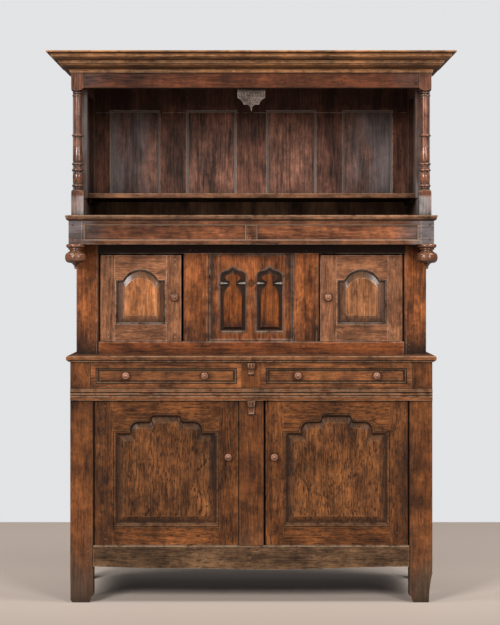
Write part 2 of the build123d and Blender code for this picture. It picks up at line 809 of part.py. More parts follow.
# ---------------------------------------------------------------- drawers
def make_drawer(label, side):
    """A drawer with a lipped, fielded front, nailed sides, a thin bottom and two knobs."""
    x_in, x_out = drawer_inner, drawer_outer
    x_lip = stile_inner + drawer_lip - door_gap
    y0 = base_front + drawer_front_recess
    y1 = y0 + drawer_front_thickness
    z0, z1 = drawer_floor + door_gap, base_top - door_gap
    front = block(x_in, x_lip, y0, y1, z0, z1)
    ring = (x_in + drawer_border_inner, x_lip - drawer_border_outer, z0 + drawer_border_foot,
            z1 - drawer_border_head)
    centre_x, centre_z = (ring[0] + ring[1]) / 2, (ring[2] + ring[3]) / 2
    wide, high = ring[1] - ring[0], ring[3] - ring[2]

    def inside(inset):
        return Pos(centre_x, centre_z) * Rectangle(wide - 2 * inset, high - 2 * inset)

    quirk = drawer_quirk
    front -= slab(inside(0) - inside(quirk), y0 - 1, 1 + drawer_band_depth - 1)
    front -= slab(inside(quirk), y0 - 1, 1 + 1)
    front -= flare(inside(quirk + drawer_bead), y0 + 2.5, inside(quirk), y0 + 1)
    front -= slab(inside(quirk + drawer_bead), y0 + 2.5, drawer_band_depth - 2.5)
    field = Pos(centre_x, centre_z) * Rectangle(wide - 2 * drawer_band_side,
                                                high - 2 * drawer_band_level)
    front += slab(field, y0 + 1, drawer_band_depth - 1)
    foot = Pos(centre_x, centre_z) * Rectangle(wide - 2 * drawer_band_side + 4,
                                               high - 2 * drawer_band_level + 4)
    front += flare(foot, y0 + drawer_band_depth, field, y0 + 2.5)
    zs = drawer_floor + slide_clearance
    y2 = side_y1 - drawer_tail_clearance
    sides = [block(x_in, x_in + drawer_side_thickness, y1, y2, zs, zs + drawer_side_height),
             block(x_out - drawer_side_thickness, x_out, y1, y2, zs, zs + drawer_side_height)]
    back = block(x_in + drawer_side_thickness, x_out - drawer_side_thickness,
                 y2 - drawer_side_thickness, y2, zs, zs + drawer_side_height)
    zb = zs + drawer_bottom_rise
    lap = drawer_side_thickness / 2
    bottom = block(x_in + lap, x_out - lap, y1, y2 - lap, zb, zb + drawer_bottom_thickness)
    sides = [piece - bottom for piece in sides]
    back -= bottom
    members = [(3, 7, 8.5, 0), (3, 6, 6, 0), (4, 6, knob_radius - 1, -1.2),
               (4, knob_radius - 1, knob_radius, 1), (3.5, knob_radius, 9, 1), (1.5, 6, 5, 0),
               (3, 5, 0.5, 0.8)]
    knobs = []
    knob_z = centre_z
    for x in (x_in + drawer_knob_inset + 18, x_lip - drawer_knob_inset - 12):
        stem = bore_y(x, knob_z, y0 - 1, y0 + drawer_front_thickness, spindle_radius)
        front -= stem
        knobs.append(Pos(x, y0, knob_z) * Rot(90, 0, 0) * turned(members) + stem)
    pieces = {"front": [front], "box": sides + [back], "bottom": [bottom], "knobs": knobs}
    for part, solids in pieces.items():
        if side < 0:
            solids = [mirror(solid, about=Plane.YZ) for solid in solids]
        node(label + "_" + part, solids)


make_drawer("left_drawer", -1)
make_drawer("right_drawer", 1)

# ---------------------------------------------------------------- middle stage
mid_side_outer = mid_half - side_set_in
mid_side_inner = mid_side_outer - side_rail_thickness
mid_panel_x = mid_side_inner + (side_rail_thickness - panel_edge_thickness) / 2
mid_side_y0 = mid_front + mid_stile_depth
mid_side_y1 = back_y - back_stile_depth
mid_groove = panel_groove(mid_panel_x, mid_side_y0, mid_side_y1, upper_opening_bottom,
                          upper_opening_top)
corner_stile = beaded_upright(mid_stile_inner, mid_half, mid_front, mid_stile_depth, mid_floor,
                              mid_top, mid_stile_bead, 0, stile_bead_depth) - mid_groove
post = beaded_upright(post_inner_half, post_outer, mid_front, rail_thickness,
                      upper_opening_bottom, upper_opening_top, mid_stile_bead, post_bead,
                      stile_bead_depth)
mid_back_inner = mid_half - mid_back_stile_width
mid_back_stile = block(mid_back_inner, mid_half, mid_side_y1, back_y, mid_floor, mid_top)
mid_back_stile -= mid_groove
mid_side_bottom = block(mid_side_inner, mid_side_outer, mid_side_y0, mid_side_y1, mid_floor,
                        upper_opening_bottom) - mid_groove
mid_side_top = block(mid_side_inner, mid_side_outer, mid_side_y0, mid_side_y1,
                     upper_opening_top, mid_top) - mid_groove
mid_back_rails = [block(-mid_back_inner, mid_back_inner, back_rail_front, frame_back, z0, z1)
                  for z0, z1 in ((mid_floor, upper_opening_bottom), (upper_opening_top, mid_top))]
mid_bottom_rail = beaded_rail(-mid_stile_inner, mid_stile_inner, mid_front, rail_thickness,
                              mid_floor, upper_opening_bottom, rail_bead)
mid_top_rail = block(-mid_stile_inner, mid_stile_inner, mid_front, mid_front + rail_thickness,
                     upper_opening_top, mid_top)
upper_hinge_x = mid_stile_inner - door_gap - pin_setback
upper_hinge_y = upper_door_front + pin_setback
upper_pins = []
for x in (-upper_hinge_x, upper_hinge_x):
    low = bore_z(x, upper_hinge_y, upper_opening_bottom - pin_half,
                 upper_opening_bottom + pin_half, pin_radius)
    high = bore_z(x, upper_hinge_y, upper_opening_top - pin_half, upper_opening_top + pin_half,
                  pin_radius)
    mid_bottom_rail -= low
    mid_top_rail -= high
    upper_pins += [low, high]
node("mid_front_stiles", both(corner_stile), both(post))
node("mid_front_rails", mid_bottom_rail, mid_top_rail)
node("upper_hinge_pins", upper_pins)
node("mid_side_frames", both(mid_back_stile), both(mid_side_bottom), both(mid_side_top),
     mid_back_rails)
node("mid_side_panels", both(side_panel(mid_panel_x, (mid_side_y0 + mid_side_y1) / 2,
                                        (upper_opening_bottom + upper_opening_top) / 2,
                                        mid_side_y1 - mid_side_y0, upper_opening_height)))
node("mid_back_boards", vertical_boards(mid_back_inner, frame_back, back_y, mid_floor, mid_top,
                                        back_board_count))


# fixed centre panel: a moulded border, and two ogee-headed lights with pointed cusps at the neck
def ogee_light(centre, grow=0):
    """Outline of one arched light, grown outwards by the distance given."""
    z0 = upper_opening_bottom
    half = arch_half_width + grow
    return symmetric(centre, [(half, z0 + arch_foot_rise - grow, 0),
                              (half, z0 + arch_widest_rise, -4),
                              (half * 0.6, z0 + arch_widest_rise + 17 + grow * 0.6, 3),
                              (0, z0 + arch_crown_rise + grow * 1.4, 0)])


def bottle_field(centre, inset):
    """Outline of the raised field: shouldered below the neck and lobed above it."""
    z0 = upper_opening_bottom
    half = arch_half_width - inset
    neck = max(neck_half - inset * 0.4, 5)
    return symmetric(centre, [(half, z0 + arch_foot_rise + inset, 0),
                              (half, z0 + arch_cusp_rise - 52, -5),
                              (neck, z0 + arch_cusp_rise - 8, 0),
                              (neck, z0 + arch_cusp_rise + 8, -2.5),
                              (half * 0.85, z0 + arch_widest_rise - 8, -3),
                              (half * 0.5, z0 + arch_widest_rise + 6, 2),
                              (0, z0 + arch_crown_rise - inset * 1.7, 0)])


frame_front = mid_front + centre_frame_recess
frame_half = post_inner_half
light_centre = arch_half_gap + arch_margin + arch_half_width
frame_mid = (upper_opening_bottom + upper_opening_top) / 2


def centre_border(inset):
    """Rectangle inside the edge of the centre frame."""
    return Pos(0, frame_mid) * Rectangle(2 * (frame_half - inset),
                                         upper_opening_height - 2 * inset)


centre_plate = block(-frame_half, frame_half, frame_front, frame_front + centre_frame_thickness,
                     upper_opening_bottom, upper_opening_top)
centre_plate -= slab(centre_border(border_outer) - centre_border(border_outer + moulding_quirk),
                     frame_front - 1, 1 + moulding_quirk)
centre_plate -= flare(centre_border(border_inner), frame_front + border_depth,
                      centre_border(border_outer + moulding_quirk), frame_front - 0.01)
plate_front = frame_front + border_depth
centre_panels = []
for centre in (-light_centre, light_centre):
    light = ogee_light(centre)
    centre_plate -= slab(light, frame_front - 1, centre_frame_thickness + 2)
    centre_plate -= slab(ogee_light(centre, arch_margin)
                         - ogee_light(centre, arch_margin - moulding_quirk), plate_front - 1, 2.6)
    centre_plate -= flare(light, plate_front + border_depth + 1,
                          ogee_light(centre, arch_margin - moulding_quirk), plate_front)
    seat_y = plate_front + 7
    tongue = ogee_light(centre, groove_depth)
    centre_plate -= slab(tongue, seat_y, panel_edge_thickness + groove_clearance)
    edge = slab(ogee_light(centre, groove_depth - groove_clearance),
                seat_y + groove_clearance / 2, panel_edge_thickness)
    face_y = seat_y + groove_clearance / 2
    field = flare(bottle_field(centre, 5), face_y, bottle_field(centre, 14), plate_front + 1.5)
    centre_panels.append(edge + field)
    for side in (-1, 1):
        cusp_length = arch_half_width - neck_half + 2
        cusp = Cone(cusp_radius, 0.8, cusp_length, align=(Align.CENTER, Align.CENTER, Align.MIN))
        root = Pos(centre + side * (arch_half_width + 2), plate_front + 2,
                   upper_opening_bottom + arch_cusp_rise)
        centre_plate += root * Rot(0, -side * 90, 0) * cusp
light_edge = light_centre + arch_half_width + arch_margin
deep = (frame_front - 5, frame_front + centre_frame_thickness + 5)
high = (upper_opening_bottom - 5, upper_opening_top + 5)
centre_frame = [centre_plate & block(-frame_half - 5, -light_edge, *deep, *high),
                centre_plate & block(light_edge, frame_half + 5, *deep, *high),
                centre_plate & block(-light_edge, light_edge, *deep, *high)]
node("centre_frame", centre_frame)
node("centre_panels", centre_panels)

# ---------------------------------------------------------------- canopy frieze
frieze_back = canopy_front + rail_thickness
block_inner = canopy_half - corner_block
panel_z0 = mid_top + frieze_lower_rail
panel_z1 = frieze_top - frieze_upper_rail
frieze_muntin_half = frieze_muntin_width / 2
frieze_lower = beaded_rail(-block_inner, block_inner, canopy_front, rail_thickness, mid_top,
                           panel_z0, frieze_edge)
frieze_upper = beaded_rail(-block_inner, block_inner, canopy_front, rail_thickness, panel_z1,
                           frieze_top, 0, frieze_edge)
frieze_muntin = beaded_upright(-frieze_muntin_half, frieze_muntin_half, canopy_front,
                               rail_thickness, panel_z0, panel_z1, frieze_muntin_edge,
                               frieze_muntin_edge, frieze_edge)
frieze_end = beaded_upright(block_inner - frieze_end_width, block_inner, canopy_front,
                            rail_thickness, panel_z0, panel_z1, frieze_edge, 0, frieze_edge)
panel_face_y = canopy_front + frieze_panel_recess
frieze_panel = block(frieze_muntin_half, block_inner - frieze_end_width, panel_face_y,
                     panel_face_y + board_thickness, panel_z0, panel_z1)
corner_post = block(block_inner, canopy_half, canopy_front, canopy_front + corner_block, mid_top,
                    frieze_top)
node("frieze_rails", frieze_lower, frieze_upper, frieze_muntin, both(frieze_end))
node("frieze_panels", both(frieze_panel))
node("frieze_corner_blocks", both(corner_post))
side_frieze_inner = canopy_half - frieze_side_thickness
side_frieze = block(side_frieze_inner, canopy_half, canopy_front + corner_block, back_y,
                    mid_top, frieze_top)
back_frieze = block(-side_frieze_inner, side_frieze_inner, back_y - back_rail_thickness, back_y,
                    mid_top, frieze_top)
node("frieze_sides", both(side_frieze), back_frieze)
soffit_y1 = back_y - back_rail_thickness
soffit_mid = (frieze_back + soffit_y1) / 2
soffit = []
for y0, y1 in ((frieze_back, soffit_mid), (soffit_mid, soffit_y1)):
    board = block(-side_frieze_inner, side_frieze_inner, y0, y1, mid_top,
                  mid_top + soffit_thickness)
    for corner in both(block(block_inner, canopy_half, canopy_front, canopy_front + corner_block,
                             mid_top - 1, frieze_top)):
        board -= corner
    soffit.append(board)
node("canopy_soffit", soffit)
canopy_edge = outline([(-front_stile_depth, 0, 0), (0.5, 0, -3), (canopy_overhang - 2, 11, 0),
                       (canopy_overhang - 2, 13, 0), (canopy_overhang, 13, 0),
                       (canopy_overhang, canopy_board_thickness - 2, 0),
                       (canopy_overhang - 2, canopy_board_thickness, 0),
                       (-front_stile_depth, canopy_board_thickness, 0)])
canopy_board = block(-canopy_half + front_stile_depth, canopy_half - front_stile_depth,
                     canopy_front + front_stile_depth, back_y, frieze_top, stage_floor)
for edge in mitred_moulding(canopy_edge, canopy_half, canopy_front, frieze_top,
                            canopy_board_thickness, canopy_overhang, front_stile_depth):
    canopy_board += edge
node("canopy_board", canopy_board)

# turned drops, listed from the tip upwards
drop_members = [(4, 0.5, 5, 1), (4, 5, 4, 1), (4, 4, 7, 0), (10, 7, 18, -1.5),
                (14, 22, drop_bulb_radius - 1, 4), (10, drop_bulb_radius - 1, drop_bulb_radius - 1, 1),
                (13, drop_bulb_radius - 1, 26, 3.6), (3, 27, 27, 0), (7, 24, 21, -1),
                (6, 25, 25, 1.6), (3, 27, drop_flange_radius - 2, 0),
                (11, drop_flange_radius - 2, drop_flange_radius - 2, 2)]
drop_length = sum(member[0] for member in drop_members)
drop = Pos(canopy_half - corner_block / 2, canopy_front + corner_block / 2,
           mid_top - drop_length) * turned(drop_members)
node("turned_drops", both(drop))

# ---------------------------------------------------------------- open top stage
column_x = top_half - column_block / 2
column_y = top_front + column_block / 2
shaft_members = [(6, 12, 13.5, 0), (3, 16, 16, 0), (8, 18.2, 18.2, 3), (4, 14, 14, 0),
                 (16, 15.5, 18.2, 0.8), (22, 18.2, 15.8, 1.4), (6, 13, 13, -0.8),
                 (8, 18.4, 18.4, 3), (4, 15.5, 15.5, 0), (6, 13, 13, -0.8), (4, 15.5, 15.5, 0),
                 (8, 18.4, 18.4, 3), (4, 13.4, 13.4, 0), (4, 16.2, 17.5, 0),
                 (50, 17.5, 14.6, 0.8), (3, 16, 16, 1), (34, 14.4, 14, 0),
                 (7, 18.8, 18.8, 3), (4, 15.6, 15.6, 0), (66, 14, 14.2, 0), (3, 16, 16, 1),
                 (0, 14.2, 14, 0), (3, 15.8, 15.8, 0), (7, 17.5, 17.5, 2.6), (4, 13, 13, 0),
                 (6, 16.4, 16.4, 2.4)]
turned_height = column_height - column_lower_block - column_upper_block
fixed_height = sum(member[0] for member in shaft_members)
shaft_members = [(turned_height - fixed_height, *member[1:]) if member[0] == 0 else member
                 for member in shaft_members]
half_block = column_block / 2
corner_radius = half_block * math.sqrt(2) + 1
shoulder = 24
lower_end = turned([(column_lower_block - shoulder, corner_radius, corner_radius, 0),
                    (shoulder, corner_radius, 12, 6)])
upper_end = turned([(shoulder, 12, corner_radius, 6),
                    (column_upper_block - shoulder, corner_radius, corner_radius, 0)])
square_lower = block(-half_block, half_block, -half_block, half_block, 0, column_lower_block)
square_upper = block(-half_block, half_block, -half_block, half_block, 0, column_upper_block)
column = (square_lower & lower_end) + Pos(0, 0, column_lower_block) * turned(shaft_members)
column += Pos(0, 0, column_height - column_upper_block) * (square_upper & upper_end)
node("top_columns", both(Pos(column_x, column_y, stage_floor) * column))

column_inner = top_half - column_block
top_side_y0 = top_front + column_block
top_side_y1 = back_y - back_frame_thickness
stile_y0 = top_front + side_stile_setback
stile_y1 = stile_y0 + side_stile_depth
back_stile_y0 = top_side_y1 - side_back_stile_depth
low_rail_top = stage_floor + top_bottom_rail_height
high_rail_bottom = column_top - top_frieze_height
side_panel_x = column_inner + (column_block - panel_edge_thickness) / 2
top_groove = panel_groove(side_panel_x, stile_y1, back_stile_y0, low_rail_top, high_rail_bottom)
top_side_pieces = [
    block(column_inner, top_half, top_side_y0, top_side_y1, stage_floor, low_rail_top),
    block(column_inner, top_half, top_side_y0, top_side_y1, high_rail_bottom, column_top),
    block(top_half - side_stile_width, top_half, stile_y0, stile_y1, low_rail_top,
          high_rail_bottom),
    block(column_inner, top_half, back_stile_y0, top_side_y1, low_rail_top, high_rail_bottom)]
node("top_side_frames", [both(piece - top_groove) for piece in top_side_pieces][0],
     *[both(piece - top_groove) for piece in top_side_pieces][1:])
node("top_side_panels", both(side_panel(side_panel_x, (stile_y1 + back_stile_y0) / 2,
                                        (low_rail_top + high_rail_bottom) / 2,
                                        back_stile_y0 - stile_y1,
                                        high_rail_bottom - low_rail_top)))

# panelled back: four panels between end stiles, two muntins and a wide centre muntin
back_z0 = stage_floor + back_bottom_rail_height
back_z1 = column_top - back_top_rail_height
half_muntin = back_centre_muntin / 2
end_inner = top_half - back_end_stile_width
light_width = (end_inner - half_muntin - back_muntin_width) / 2
back_lights = [(half_muntin, half_muntin + light_width), (end_inner - light_width, end_inner)]
back_plate = block(-top_half, top_half, top_side_y1, back_y, stage_floor, column_top)
back_panels = []
for x0, x1 in back_lights:
    for sign in (-1, 1):
        centre = sign * (x0 + x1) / 2
        light = Pos(centre, (back_z0 + back_z1) / 2) * Rectangle(x1 - x0, back_z1 - back_z0)
        grown = Pos(centre, (back_z0 + back_z1) / 2) * Rectangle(
            x1 - x0 + 2 * back_moulding, back_z1 - back_z0 + 2 * back_moulding)
        back_plate -= slab(light, top_side_y1 - 1, back_frame_thickness + 2)
        back_plate -= slab(grown, top_side_y1 - 1, 2.2)
        back_plate -= flare(light, top_side_y1 + 7, grown, top_side_y1 + 1.2)
        seat_y = top_side_y1 + 9
        tongue = Pos(centre, (back_z0 + back_z1) / 2) * Rectangle(
            x1 - x0 + 2 * groove_depth, back_z1 - back_z0 + 2 * groove_depth)
        back_plate -= slab(tongue, seat_y, panel_edge_thickness + groove_clearance)
        snug = 2 * (groove_depth - groove_clearance)
        panel = slab(Pos(centre, (back_z0 + back_z1) / 2)
                     * Rectangle(x1 - x0 + snug, back_z1 - back_z0 + snug),
                     seat_y + groove_clearance / 2, panel_edge_thickness)
        back_panels.append(panel)
reach = (top_side_y1 - 5, back_y + 5)
tall = (back_z0, back_z1)
back_members = [block(-top_half, top_half, *reach, stage_floor, back_z0),
                block(-top_half, top_half, *reach, back_z1, column_top),
                block(-top_half, -end_inner, *reach, *tall),
                block(end_inner, top_half, *reach, *tall),
                block(-half_muntin, half_muntin, *reach, *tall),
                block(half_muntin + light_width, end_inner - light_width, *reach, *tall),
                block(light_width - end_inner, -half_muntin - light_width, *reach, *tall)]
node("top_back_frame", [back_plate & member for member in back_members])
node("top_back_panels", back_panels)

# plate shelf on cleats
shelf_front = stile_y1
shelf_half = column_inner - flush_gap
cleat = block(column_inner - cleat_width, column_inner, shelf_front + cleat_setback, top_side_y1,
              low_rail_top - cleat_height, low_rail_top)
shelf = beaded_rail(-shelf_half, shelf_half, shelf_front, top_side_y1 - shelf_front,
                    low_rail_top, low_rail_top + shelf_thickness, 3, 3)
node("plate_shelf", shelf, both(cleat))

# frieze rail between the column heads, with the carved pendant plaque behind it
frieze_face = top_front + top_frieze_setback
top_frieze = beaded_rail(-column_inner, column_inner, frieze_face, top_frieze_thickness,
                         high_rail_bottom, column_top, 0, 3)
node("top_frieze", top_frieze)
plaque_half = plaque_width / 2
plaque_top = high_rail_bottom + plaque_lap
plaque_bottom = high_rail_bottom - plaque_drop
tip_half = 11
plaque = slab(outline([(-plaque_half, plaque_top, 0), (-plaque_half, plaque_bottom + 24, 4),
                       (-plaque_half + 22, plaque_bottom, 0), (-tip_half, plaque_bottom, 1.5),
                       (-2.5, plaque_bottom - plaque_tip * 0.6, 0),
                       (0, plaque_bottom - plaque_tip, 0),
                       (2.5, plaque_bottom - plaque_tip * 0.6, 1.5), (tip_half, plaque_bottom, 0),
                       (plaque_half - 22, plaque_bottom, 4),
                       (plaque_half, plaque_bottom + 24, 0), (plaque_half, plaque_top, 0)]),
              frieze_face + top_frieze_thickness, plaque_thickness)
node("carved_plaque", plaque)

# cornice: two bold ovolos under deep hollows, between flat fillets, mitred at the corners.
# Each member is (height, reach at its foot, reach at its head, bulge), listed upwards.
cornice_members = [(5, 0.05, 0.05, 0), (9.5, 0.07, 0.17, 3.4), (13, 0.22, 0.42, -3.2),
                   (2.5, 0.42, 0.45, 0), (6.5, 0.50, 0.50, 0), (2, 0.52, 0.53, 0),
                   (14, 0.56, 0.79, -3.6), (2, 0.81, 0.81, 0), (9.5, 0.81, 0.93, 3.4)]
cornice_points = [(-cornice_seat, 0, 0)]
level = 0
for height, foot, head, bulge in cornice_members:
    cornice_points.append((foot * cornice_projection, level, bulge))
    level += height
    cornice_points.append((head * cornice_projection, level, 0))
cornice_points += [(cornice_projection - 1.5, level, 0), (cornice_projection, level + 1.5, 0),
                   (cornice_projection, cornice_height, 0), (-cornice_seat, cornice_height, 0)]
kept = [cornice_points[0]]
for point in cornice_points[1:]:
    if math.dist(point[:2], kept[-1][:2]) > 0.01:
        kept.append(point)
    else:
        kept[-1] = point
cornice_profile = outline(kept)
node("cornice", mitred_moulding(cornice_profile, top_half, top_front, column_top, cornice_height,
                                cornice_projection, cornice_seat))
roof_half = top_half - cornice_seat
roof_y0 = top_front + cornice_seat
roof_mid = (roof_y0 + back_y) / 2
node("roof_boards", [block(-roof_half, roof_half, y0, y1, column_top, column_top + roof_thickness)
                     for y0, y1 in ((roof_y0, roof_mid), (roof_mid, back_y))])

# ---------------------------------------------------------------- files
os.makedirs("parts", exist_ok=True)
for name, shape in nodes.items():
    export_step(shape, "parts/" + name + ".step")
print(len(nodes), "nodes,", sum(len(shape.solids()) for shape in nodes.values()), "solids")
print("overall", top_width + 2 * cornice_projection, "x", overall_depth, "x", overall_height)
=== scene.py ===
"""Looks for an oak court cupboard: waxed finishes, pegs, carving, studio light and camera."""

import json
import logging
import math
from dataclasses import dataclass, field
from enum import Enum

import bpy
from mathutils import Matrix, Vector


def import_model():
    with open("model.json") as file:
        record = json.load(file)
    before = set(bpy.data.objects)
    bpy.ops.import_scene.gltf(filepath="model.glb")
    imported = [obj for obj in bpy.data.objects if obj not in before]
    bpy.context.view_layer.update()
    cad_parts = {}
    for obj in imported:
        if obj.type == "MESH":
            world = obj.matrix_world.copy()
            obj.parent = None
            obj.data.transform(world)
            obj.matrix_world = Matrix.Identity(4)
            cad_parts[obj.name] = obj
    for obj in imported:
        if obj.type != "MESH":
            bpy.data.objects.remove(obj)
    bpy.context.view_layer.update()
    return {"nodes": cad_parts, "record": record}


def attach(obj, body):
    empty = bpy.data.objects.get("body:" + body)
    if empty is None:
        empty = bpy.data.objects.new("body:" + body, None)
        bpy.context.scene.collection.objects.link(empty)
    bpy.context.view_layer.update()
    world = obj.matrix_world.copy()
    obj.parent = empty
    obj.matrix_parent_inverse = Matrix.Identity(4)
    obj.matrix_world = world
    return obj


log = logging.getLogger("court_cupboard")

Colour = tuple[float, float, float]
Point = tuple[float, float, float]
Leaf = tuple[float, float, float, float, float]


# ---------------------------------------------------------------- node building
class Wiring:
    """Adds nodes to one tree and joins them up."""

    def __init__(self, tree: bpy.types.NodeTree) -> None:
        """Keep the tree that the nodes go into.

        Args:
            tree: The tree to fill.
        """
        self.tree = tree

    def node(self, kind: str, **values: object) -> bpy.types.Node:
        """Add a node and set its plain attributes.

        Args:
            kind: Blender's node type name.
            values: Attributes of the node.

        Returns:
            The new node.
        """
        made = self.tree.nodes.new(kind)
        for name, value in values.items():
            setattr(made, name, value)
        return made

    def feed(self, socket: bpy.types.NodeSocket, source: object) -> None:
        """Give a socket a constant or a link.

        Args:
            socket: The input to set.
            source: An output socket, or a value.
        """
        if isinstance(source, bpy.types.NodeSocket):
            self.tree.links.new(source, socket)
        else:
            socket.default_value = source

    def math(self, operation: str, *sources: object, clamp: bool = False) -> object:
        """A math node with one to three inputs; returns its result socket."""
        made = self.node("ShaderNodeMath", operation=operation, use_clamp=clamp)
        for index, source in enumerate(sources):
            self.feed(made.inputs[index], source)
        return made.outputs[0]

    def vector_math(self, operation: str, first: object, second: object) -> object:
        """A vector math node with two inputs; returns its vector output."""
        made = self.node("ShaderNodeVectorMath", operation=operation)
        self.feed(made.inputs[0], first)
        self.feed(made.inputs[1], second)
        return made.outputs["Value" if operation == "DOT_PRODUCT" else "Vector"]

    def blend(self, mask: object, first: object, second: object, how: str = "MIX") -> object:
        """Mix two colours by the share of the second; returns the mixed colour socket."""
        made = self.node("ShaderNodeMix", data_type="RGBA", blend_type=how)
        self.feed(made.inputs[0], mask)
        self.feed(made.inputs[6], first)
        self.feed(made.inputs[7], second)
        return made.outputs[2]

    def mix_vector(self, mask: object, first: object, second: object) -> object:
        """Mix two vectors by a mask; returns the vector socket."""
        made = self.node("ShaderNodeMix", data_type="VECTOR")
        self.feed(made.inputs[0], mask)
        self.feed(made.inputs[4], first)
        self.feed(made.inputs[5], second)
        return made.outputs[1]

    def noise(self, vector: object, scale: float, detail: float = 3.0,
              roughness: float = 0.55) -> object:
        """A noise texture's factor.

        Args:
            vector: Coordinates.
            scale: Size of the pattern, in turns per metre of the coordinates.
            detail: Number of finer layers.
            roughness: Strength of the finer layers.

        Returns:
            The factor socket.
        """
        made = self.node("ShaderNodeTexNoise", noise_dimensions="3D")
        self.feed(made.inputs["Vector"], vector)
        self.feed(made.inputs["Scale"], scale)
        self.feed(made.inputs["Detail"], detail)
        self.feed(made.inputs["Roughness"], roughness)
        return made.outputs["Fac"]

    def span(self, source: object, low: float, high: float, to_low: float = 0.0,
             to_high: float = 1.0) -> object:
        """Rescale a value from one range to another, clamped.

        Args:
            source: The value.
            low: Start of its range.
            high: End of its range.
            to_low: Result at low.
            to_high: Result at high.

        Returns:
            The rescaled value socket.
        """
        made = self.node("ShaderNodeMapRange", clamp=True)
        self.feed(made.inputs["Value"], source)
        self.feed(made.inputs["From Min"], low)
        self.feed(made.inputs["From Max"], high)
        self.feed(made.inputs["To Min"], to_low)
        self.feed(made.inputs["To Max"], to_high)
        return made.outputs["Result"]


class Grain(Enum):
    """Which way the wood runs: how far each axis is drawn out along the grain."""

    UPRIGHT = (1.0, 1.0, 0.055)
    ACROSS = (0.055, 1.0, 1.0)
    BACK = (1.0, 0.055, 1.0)


@dataclass(frozen=True)
class OakFinish:
    """A waxed oak finish for one of the record's material slots, or for some of its nodes."""

    slot: str
    light: Colour
    dark: Colour
    grain: Grain = Grain.UPRIGHT
    cross_grain: Grain = Grain.ACROSS
    cross_from: float = 90.0
    cross_to: float = 91.0
    plank: float = 50.0
    figure: float = 0.5
    pores: float = 0.5
    patina: float = 0.6
    # the next four: dirt in corners, which also stands in for contact shade and for the shadow
    # under overhangs; faces turning downwards painted darker as shade; rubbed arrises together
    # with painted sheen and highlight, and their colour
    grime: float = 0.85
    soot: float = 0.85
    wear: float = 0.5
    wear_colour: Colour = (0.36, 0.19, 0.09)
    roughness: float = 0.45
    coat: float = 0.2
    coat_roughness: float = 0.28
    blotch: float = 0.6
    # steep sides of mouldings painted pale as sheen
    slope: float = 0.0
    # a pale haze along an axis: mostly painted sheen and reflection, painted light on one rail, a
    # plain tone on the feet
    bloom: float = 0.0
    bloom_colour: Colour = (0.215, 0.190, 0.190)
    bloom_axis: Point = (1.0, 0.0, 0.0)
    bloom_from: float = 0.35
    bloom_to: float = 0.6
    # a darker end along an axis: painted shadow on some finishes, a plain darker end on others
    shade: float = 0.0
    shade_axis: Point = (0.0, 0.0, -1.0)
    shade_from: float = 0.0
    shade_to: float = 1.0
    # ground sunk below the face painted darker as shade
    sunk: float = 0.0
    sunk_from: float = 0.0
    sunk_to: float = 1.0
    nodes: tuple[str, ...] = ()


SURFACE_INPUTS: dict[str, tuple[str, ...]] = {
    "NodeSocketColor": ("light", "dark", "wear_colour", "bloom_colour"),
    "NodeSocketVector": ("grain", "cross_grain", "bloom_axis", "shade_axis"),
    "NodeSocketFloat": (
        "cross_from", "cross_to", "plank", "figure", "pores", "patina", "grime", "soot", "wear",
        "roughness", "blotch", "slope", "bloom", "bloom_from", "bloom_to", "shade",
        "shade_from", "shade_to", "sunk", "sunk_from", "sunk_to"),
}
# the dirt colour also paints shade in corners, under overhangs and on downward faces; the haze's
# dark end belongs to painted sheen; the hollow colour paints shade in sunk grounds and painted
# shadow at some ends
PORE_COLOUR = (0.012, 0.006, 0.004, 1.0)
SMOKE_COLOUR = (0.030, 0.017, 0.012, 1.0)
WAX_HAZE_AND_SHEEN_DARK = (0.020, 0.014, 0.012, 1.0)
HOLLOW_COLOUR = (0.018, 0.011, 0.009, 1.0)
DIRT_AND_SHADE_COLOUR = (0.007, 0.004, 0.003, 1.0)
RING_COUNT = 110.0
CREVICE_REACH = 0.022
# reach of the painted shadow under overhangs
OVERHANG_REACH = 0.11
ARRIS_RADIUS = 0.003
OAK_SPECULAR = 0.12
BUMP_STRENGTH = 0.35
BUMP_DEPTH = 0.0006


def socket_name(entry: str) -> str:
    """The group socket that a finish's entry feeds."""
    return entry.replace("_", " ").title()


